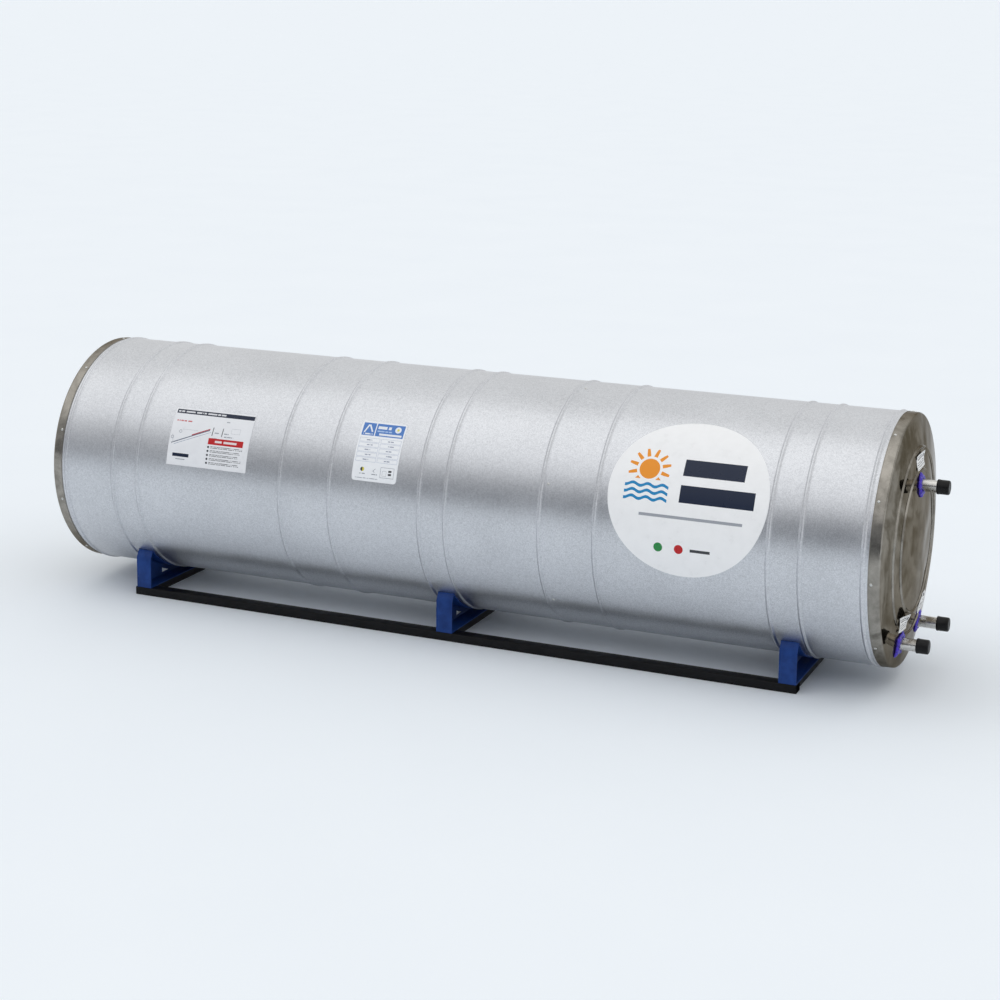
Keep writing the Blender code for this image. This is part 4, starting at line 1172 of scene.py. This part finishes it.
def saddle_outline(inset):
    """Feet, front plates with their bends, and the cradle's arc, set in by a wall."""
    bend = (-SADDLE_FRONT, FLOOR_LINE + SADDLE_BEND)
    top_z = FLOOR_LINE + SADDLE_TOP
    top = (-sqrt(CRADLE ** 2 - top_z ** 2), top_z)
    run = hypot(top[0] - bend[0], top[1] - bend[1])
    along = ((top[0] - bend[0]) / run, (top[1] - bend[1]) / run)
    start = (bend[0] + inset * along[1], bend[1] - inset * along[0])
    to_plate = (-SADDLE_FRONT + inset - start[0]) / along[0]
    bend_in = (-SADDLE_FRONT + inset, start[1] + to_plate * along[1])
    radius = CRADLE + inset
    reach = -(start[0] * along[0] + start[1] * along[1])
    reach -= sqrt(reach ** 2 - (start[0] ** 2 + start[1] ** 2 - radius ** 2))
    top_in = (start[0] + reach * along[0], start[1] + reach * along[1])
    first = atan2(-top_in[0], -top_in[1])
    half = [(-SADDLE_FRONT + inset, FLOOR_LINE + inset), bend_in, top_in]
    steps = 26
    half += [(-radius * sin(first * (1 - step / steps)), -radius * cos(first * (1 - step / steps)))
             for step in range(1, steps)]
    return half + [(0.0, -radius)] + [(-y, z) for y, z in reversed(half)]


def window_outline(side):
    """The web's three-cornered window."""
    foot = FLOOR_LINE + 0.010
    return [(side * 0.119, foot), (side * 0.119, foot + 0.015), (side * 0.080, foot)]


def saddle_mesh(middle):
    """A pressed pan: a web on the -X side and a wall all round it."""
    low, high = middle - SADDLE_WIDTH / 2, middle + SADDLE_WIDTH / 2
    wall = plate([saddle_outline(0.0), saddle_outline(SADDLE_SHEET)], low, high)
    web = plate([saddle_outline(0.0), window_outline(1), window_outline(-1)], low,
                low + SADDLE_SHEET)
    mesh = joined(wall, web)
    mesh.materials.clear()
    mesh.materials.append(BLUE)
    return bevelled(mesh, 0.0011, 48, 2)


def rounded_box(low, high, corner, steps=3):
    """A rectangle's outline with rounded corners."""
    (a0, b0), (a1, b1) = low, high
    middles = ((a1 - corner, b1 - corner), (a0 + corner, b1 - corner), (a0 + corner, b0 + corner),
               (a1 - corner, b0 + corner))
    return [(a + corner * cos(pi / 2 * (quarter + step / steps)),
             b + corner * sin(pi / 2 * (quarter + step / steps)))
            for quarter, (a, b) in enumerate(middles) for step in range(steps + 1)]


def square_tube(name, node, along):
    """A rolled square tube with round corners, open at its ends."""
    low, high = (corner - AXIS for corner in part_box(node))
    if along == 0:
        section, ends, stand = ((low.y, low.z), (high.y, high.z)), (low.x, high.x), None
    else:
        section, ends = ((low.x, low.z), (high.x, high.z)), (-high.y, -low.y)
        stand = Matrix(((1, 0, 0, 0), (0, 0, -1, 0), (0, 1, 0, 0), (0, 0, 0, 1)))
    inner = tuple(tuple(c + wall for c in corner)
                  for corner, wall in zip(section, (RAIL_WALL, -RAIL_WALL)))
    mesh = plate([rounded_box(*section, 0.0035), rounded_box(*inner, 0.0020)], *ends, stand)
    creased(mesh, 40)
    piece(name, mesh, nodes=[node], material=BLACK)


for number, middle in enumerate(SADDLE_PLACES, 1):
    piece(f"saddle_bracket_{number}", saddle_mesh(middle), nodes=[f"saddle_{number}"])
    square_tube(f"cross_tube_{number}", f"cross_member_{number}", 1)
for side in ("front", "rear"):
    square_tube(side + "_tube", side + "_rail", 0)


def hex_bolt(head, flange, shank, length):
    """A hexagon bolt with a pressed flange, on its own Z, from the seat up."""
    body = small_turned([(-length, 0.0), (-length, shank * 0.8), (-length + shank * 0.5, shank),
                         (0.0, shank), (0.0, flange), (0.0009, flange), (0.0019, head * 0.98),
                         (0.0019, 0.0)], 24)
    with Edited(body) as work:
        for flats, foot, top, depth, up in ((6, 1.0, 1.0, 0.62, 0.31),
                                            (24, 0.86, 0.70, 0.14, 0.68)):
            bmesh.ops.create_cone(work, cap_ends=True, segments=flats, radius1=head * foot,
                                  radius2=head * top, depth=head * depth,
                                  matrix=Matrix.Translation((0, 0, 0.0015 + head * up)))
    return creased(body, 35)


bolts = [f"saddle_screw_{side}_{number}" for side in ("front", "rear") for number in (1, 2, 3)]
BOLT_SEAT = AXIS.z + FLOOR_LINE + SADDLE_SHEET + GAP
places = [((centre(node).x, centre(node).y, BOLT_SEAT), (0.0, 0.0, 1.0)) for node in bolts]
piece("stand_bolts", set_out(places, hex_bolt(0.0058, 0.0081, 0.0030, 0.0135), ZINC), nodes=bolts)

# ---- heater end -------------------------------------------------------------------------


def side_turned(name, node, outline_of, material):
    """A turned piece on the -X side that fills its CAD node's box.

    The outline's X and radius are told from the node's two ends and its radius.
    """
    low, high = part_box(node)
    middle = centre(node) - AXIS
    outer, inner, radius = AXIS.x - low.x, AXIS.x - high.x, (high.z - low.z) / 2
    mesh = turned(outline_of(outer, inner, radius), material, 48, -1, (middle.y, middle.z))
    piece(name, mesh, nodes=[node])


def sleeve(bore):
    """Outline of a sleeve with broken edges."""
    def outline(outer, inner, radius):
        edge = min(0.0006, (outer - inner) / 4, (radius - bore) / 4)
        return [(outer, radius - edge), (outer - edge, radius), (inner + edge, radius),
                (inner, radius - edge), (inner, bore + edge), (inner + edge, bore),
                (outer - edge, bore), (outer, bore + edge)]
    return outline


for boss, thread in (("heater", 0.0210), ("anode", 0.0130)):
    bore = (thread + 0.0004) / cos(pi / 16)
    side_turned(boss + "_weld_boss", boss + "_boss", sleeve(bore), PIPE_STEEL)
    side_turned(boss + "_ring_gasket", boss + "_gasket", sleeve(bore), RUBBER)
    piece(boss + "_hex_plug", softened(boss + "_plug", BRASS, 0.0009, 50, 3),
          nodes=[boss + "_plug"])

COVER_BODY = "heater_cover_body"
cover_low, cover_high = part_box("heater_cover")
cover_middle = centre("heater_cover")
piece("terminal_cover", softened("heater_cover", COVER_PLASTIC, 0.0011, 50, 2), COVER_BODY,
      ["heater_cover"])

# raised border and cooling ribs on the cover's face
face_y, face_z = cover_middle.y - AXIS.y, cover_middle.z - AXIS.z
half_y, half_z = (cover_high.y - cover_low.y) / 2, (cover_high.z - cover_low.z) / 2


def border_line(inset, corner):
    """A rounded frame line on the cover's face, set in from its edges."""
    y, z = half_y - inset, half_z - inset - 0.012
    return rounded_box((face_y - y, face_z - z), (face_y + y, face_z + z), corner, 5)


border = plate([border_line(0.014, 0.006), border_line(0.017, 0.004)],
               cover_low.x - AXIS.x - 0.0010, cover_low.x - AXIS.x + 0.0004)
piece("terminal_cover_border", creased(border, 40), COVER_BODY,
      material=COVER_PLASTIC)

rib = small_block((0.0016, 0.056, 0.0022), 0.0005, 2, 0.6)
rib.transform(Matrix.Rotation(radians(90), 4, "Y"))
places = [((cover_low.x - 0.0002, cover_middle.y, cover_middle.z + 0.0075 * row), (-1.0, 0.0, 0.0))
          for row in range(-4, 5)]
piece("terminal_cover_ribs", creased(set_out(places, rib, COVER_PLASTIC), 40), COVER_BODY)

COVER_SCREWS = ["cover_screw_upper", "cover_screw_lower"]
SCREW_HEAD = 0.0020
low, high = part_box(COVER_SCREWS[0])
screw_end = low.x + SCREW_HEAD - high.x
screw = small_turned([(screw_end, 0.0), (screw_end + 0.004, 0.0019), (0.0, 0.0019),
                      (0.0, 0.0039), (0.0006, 0.0040), (0.0014, 0.0032), (0.0019, 0.0018),
                      (SCREW_HEAD, 0.0)], 20)
for size in ((0.0042, 0.0009), (0.0009, 0.0042)):
    cut = small_block((*size, 0.0018), middle=(0, 0, 0.0019))
    screw = joined(screw, cut, "DIFFERENCE")
places = [((low.x + SCREW_HEAD, centre(node).y, centre(node).z), (-1.0, 0.0, 0.0))
          for node in COVER_SCREWS]
piece("cover_screws", set_out(places, creased(screw, 40), ZINC), COVER_BODY, COVER_SCREWS)

# cable gland: ribbed nut on a flange, pointing down
gland_low, gland_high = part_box("cable_gland")
gland_middle = centre("cable_gland")
gland_bore, gland_length = 0.0050, gland_high.z - gland_low.z
gland_outline = [(0.0, 0.0108), (0.0030, 0.0108), (0.0036, 0.0092), (0.0052, 0.0092),
                 (0.0056, 0.0098), (0.0118, 0.0094), (0.0150, 0.0082),
                 (gland_length - 0.0008, 0.0072), (gland_length, 0.0064),
                 (gland_length, gland_bore), (0.0, gland_bore)]
gland = small_turned(gland_outline + [gland_outline[0]], 48)
grip = small_block((0.0060, 0.0013, 0.0012), 0.0003)
places = [((0.0097 * c, 0.0097 * s, 0.0087), (c, s, 0.0)) for c, s in spokes(12)]
grips = set_out(places, grip, COVER_PLASTIC)
with Edited(gland) as work:
    work.from_mesh(grips)
gland.transform(Matrix.Translation((gland_middle.x, gland_middle.y, gland_high.z))
                @ Matrix.Rotation(pi, 4, "X"))
piece("cover_cable_gland", creased(gland, 38), COVER_BODY, ["cable_gland"],
      COVER_PLASTIC)

# thermostat and its dial
DIAL_BODY = "thermostat_dial_body"
piece("thermostat_box", softened("thermostat_body", GREY_PLASTIC, 0.0016, 50, 3),
      nodes=["thermostat_body"])
dial_low, dial_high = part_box("thermostat_dial")
dial_middle = centre("thermostat_dial") - AXIS
dial_radius = (dial_high.z - dial_low.z) / 2
dial_face, dial_foot = AXIS.x - dial_low.x, AXIS.x - dial_high.x
dial = turned([(dial_face - 0.0006, 0.0), (dial_face - 0.0006, 0.0062), (dial_face, 0.0070),
               (dial_face, 0.0098), (dial_face - 0.0010, 0.0108), (dial_foot + 0.0020, 0.0118),
               (dial_foot + 0.0014, dial_radius - 0.0002), (dial_foot, dial_radius - 0.0006),
               (dial_foot, 0.0)], CAP_PLASTIC, 72, -1, (dial_middle.y, dial_middle.z), 36)
piece("thermostat_knob", dial, DIAL_BODY, ["thermostat_dial"])
ridge = small_block((0.0050, 0.0012, 0.0010), 0.0003)
ridge_x = -(dial_face + dial_foot) / 2 - 0.0006
places = [(tuple(at(ridge_x, dial_middle.y + 0.0113 * c, dial_middle.z + 0.0113 * s)), (0.0, c, s))
          for c, s in spokes(24)]
piece("thermostat_knob_grips", creased(set_out(places, ridge, CAP_PLASTIC), 40), DIAL_BODY)
pointer = small_block((0.0008, 0.0014, 0.0062), 0.0003, 2,
                      middle=at(-dial_face + 0.0002, dial_middle.y, dial_middle.z + 0.0074))
piece("thermostat_pointer", pointer, DIAL_BODY, material=GREY_PLASTIC)

# ---- inner pieces that keep their CAD shape ---------------------------------------------

TANK_STEEL = tank_steel()
KEPT = {"tank_shell": TANK_STEEL, "tank_head_pipes": TANK_STEEL, "tank_head_heater": TANK_STEEL,
        "insulation": foam(), "heating_element": PIPE_STEEL, "anode_rod": magnesium(),
        "thermostat_pocket": PIPE_STEEL, "thermostat_probe": PIPE_STEEL}
for node, material in KEPT.items():
    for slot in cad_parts[node].material_slots:
        slot.material = material

# ---- studio -----------------------------------------------------------------------------

floor_mesh = bpy.data.meshes.new("studio_floor")
with Edited(floor_mesh) as work:
    bmesh.ops.create_grid(work, x_segments=24, y_segments=24, size=400)
floor_mesh.materials.append(floor_finish())
linked("studio_floor", floor_mesh)

SKY_STOPS = ((0.0, (0.040, 0.045, 0.055)), (0.09, (0.055, 0.062, 0.075)),
             (0.20, (0.150, 0.160, 0.180)), (0.36, (0.42, 0.43, 0.45)),
             (0.62, (0.78, 0.785, 0.79)), (0.90, (0.94, 0.94, 0.93)))


def studio_light():
    """Soft light from all round, brightest overhead and behind, and one wide lamp above."""
    world = bpy.data.worlds.new("studio")
    bpy.context.scene.world = world
    world.use_nodes = True
    sky = Graph(world.node_tree)
    x, y, z = sky.axes(sky.node("ShaderNodeTexCoord", output="Generated"))
    lift = z + y * 0.40 + x ** 2.0 * 0.55
    height = sky.node("ShaderNodeMapRange", {}, {0: lift, 1: -0.5, 2: 1.1})
    glow = sky.node("ShaderNodeValToRGB", {"stops": SKY_STOPS}, {0: height})
    sky.put(sky.tree.nodes["Background"].inputs[0], glow)
    lamp = bpy.data.lights.new("overhead", "SUN")
    lamp.energy, lamp.angle = 0.44, radians(75)
    linked("overhead", lamp).rotation_euler = (radians(24), radians(-8), 0)
    bpy.context.scene.view_settings.view_transform = "Standard"


studio_light()

LENS = 73.32
YAW, PITCH, ROLL = radians(23.379), radians(10.381), radians(0.753)
STAND_POINT = at(1.28 + 3.152 * BODY_RADIUS, -15.384 * BODY_RADIUS, 4.229 * BODY_RADIUS)
ahead = Vector((-sin(YAW) * cos(PITCH), cos(YAW) * cos(PITCH), -sin(PITCH)))
level = ahead.cross(Vector((0, 0, 1))).normalized()
raised = level.cross(ahead)
right = level * cos(ROLL) + raised * sin(ROLL)
up = raised * cos(ROLL) - level * sin(ROLL)
lens = bpy.data.cameras.new("camera")
lens.lens, lens.sensor_width, lens.shift_y = LENS, 36.0, -0.1438
lens.clip_start, lens.clip_end = 0.1, 2000.0
camera = linked("camera", lens)
camera.matrix_world = (Matrix.Translation(STAND_POINT)
                       @ Matrix((right, up, -ahead)).transposed().to_4x4())
bpy.context.scene.camera = camera
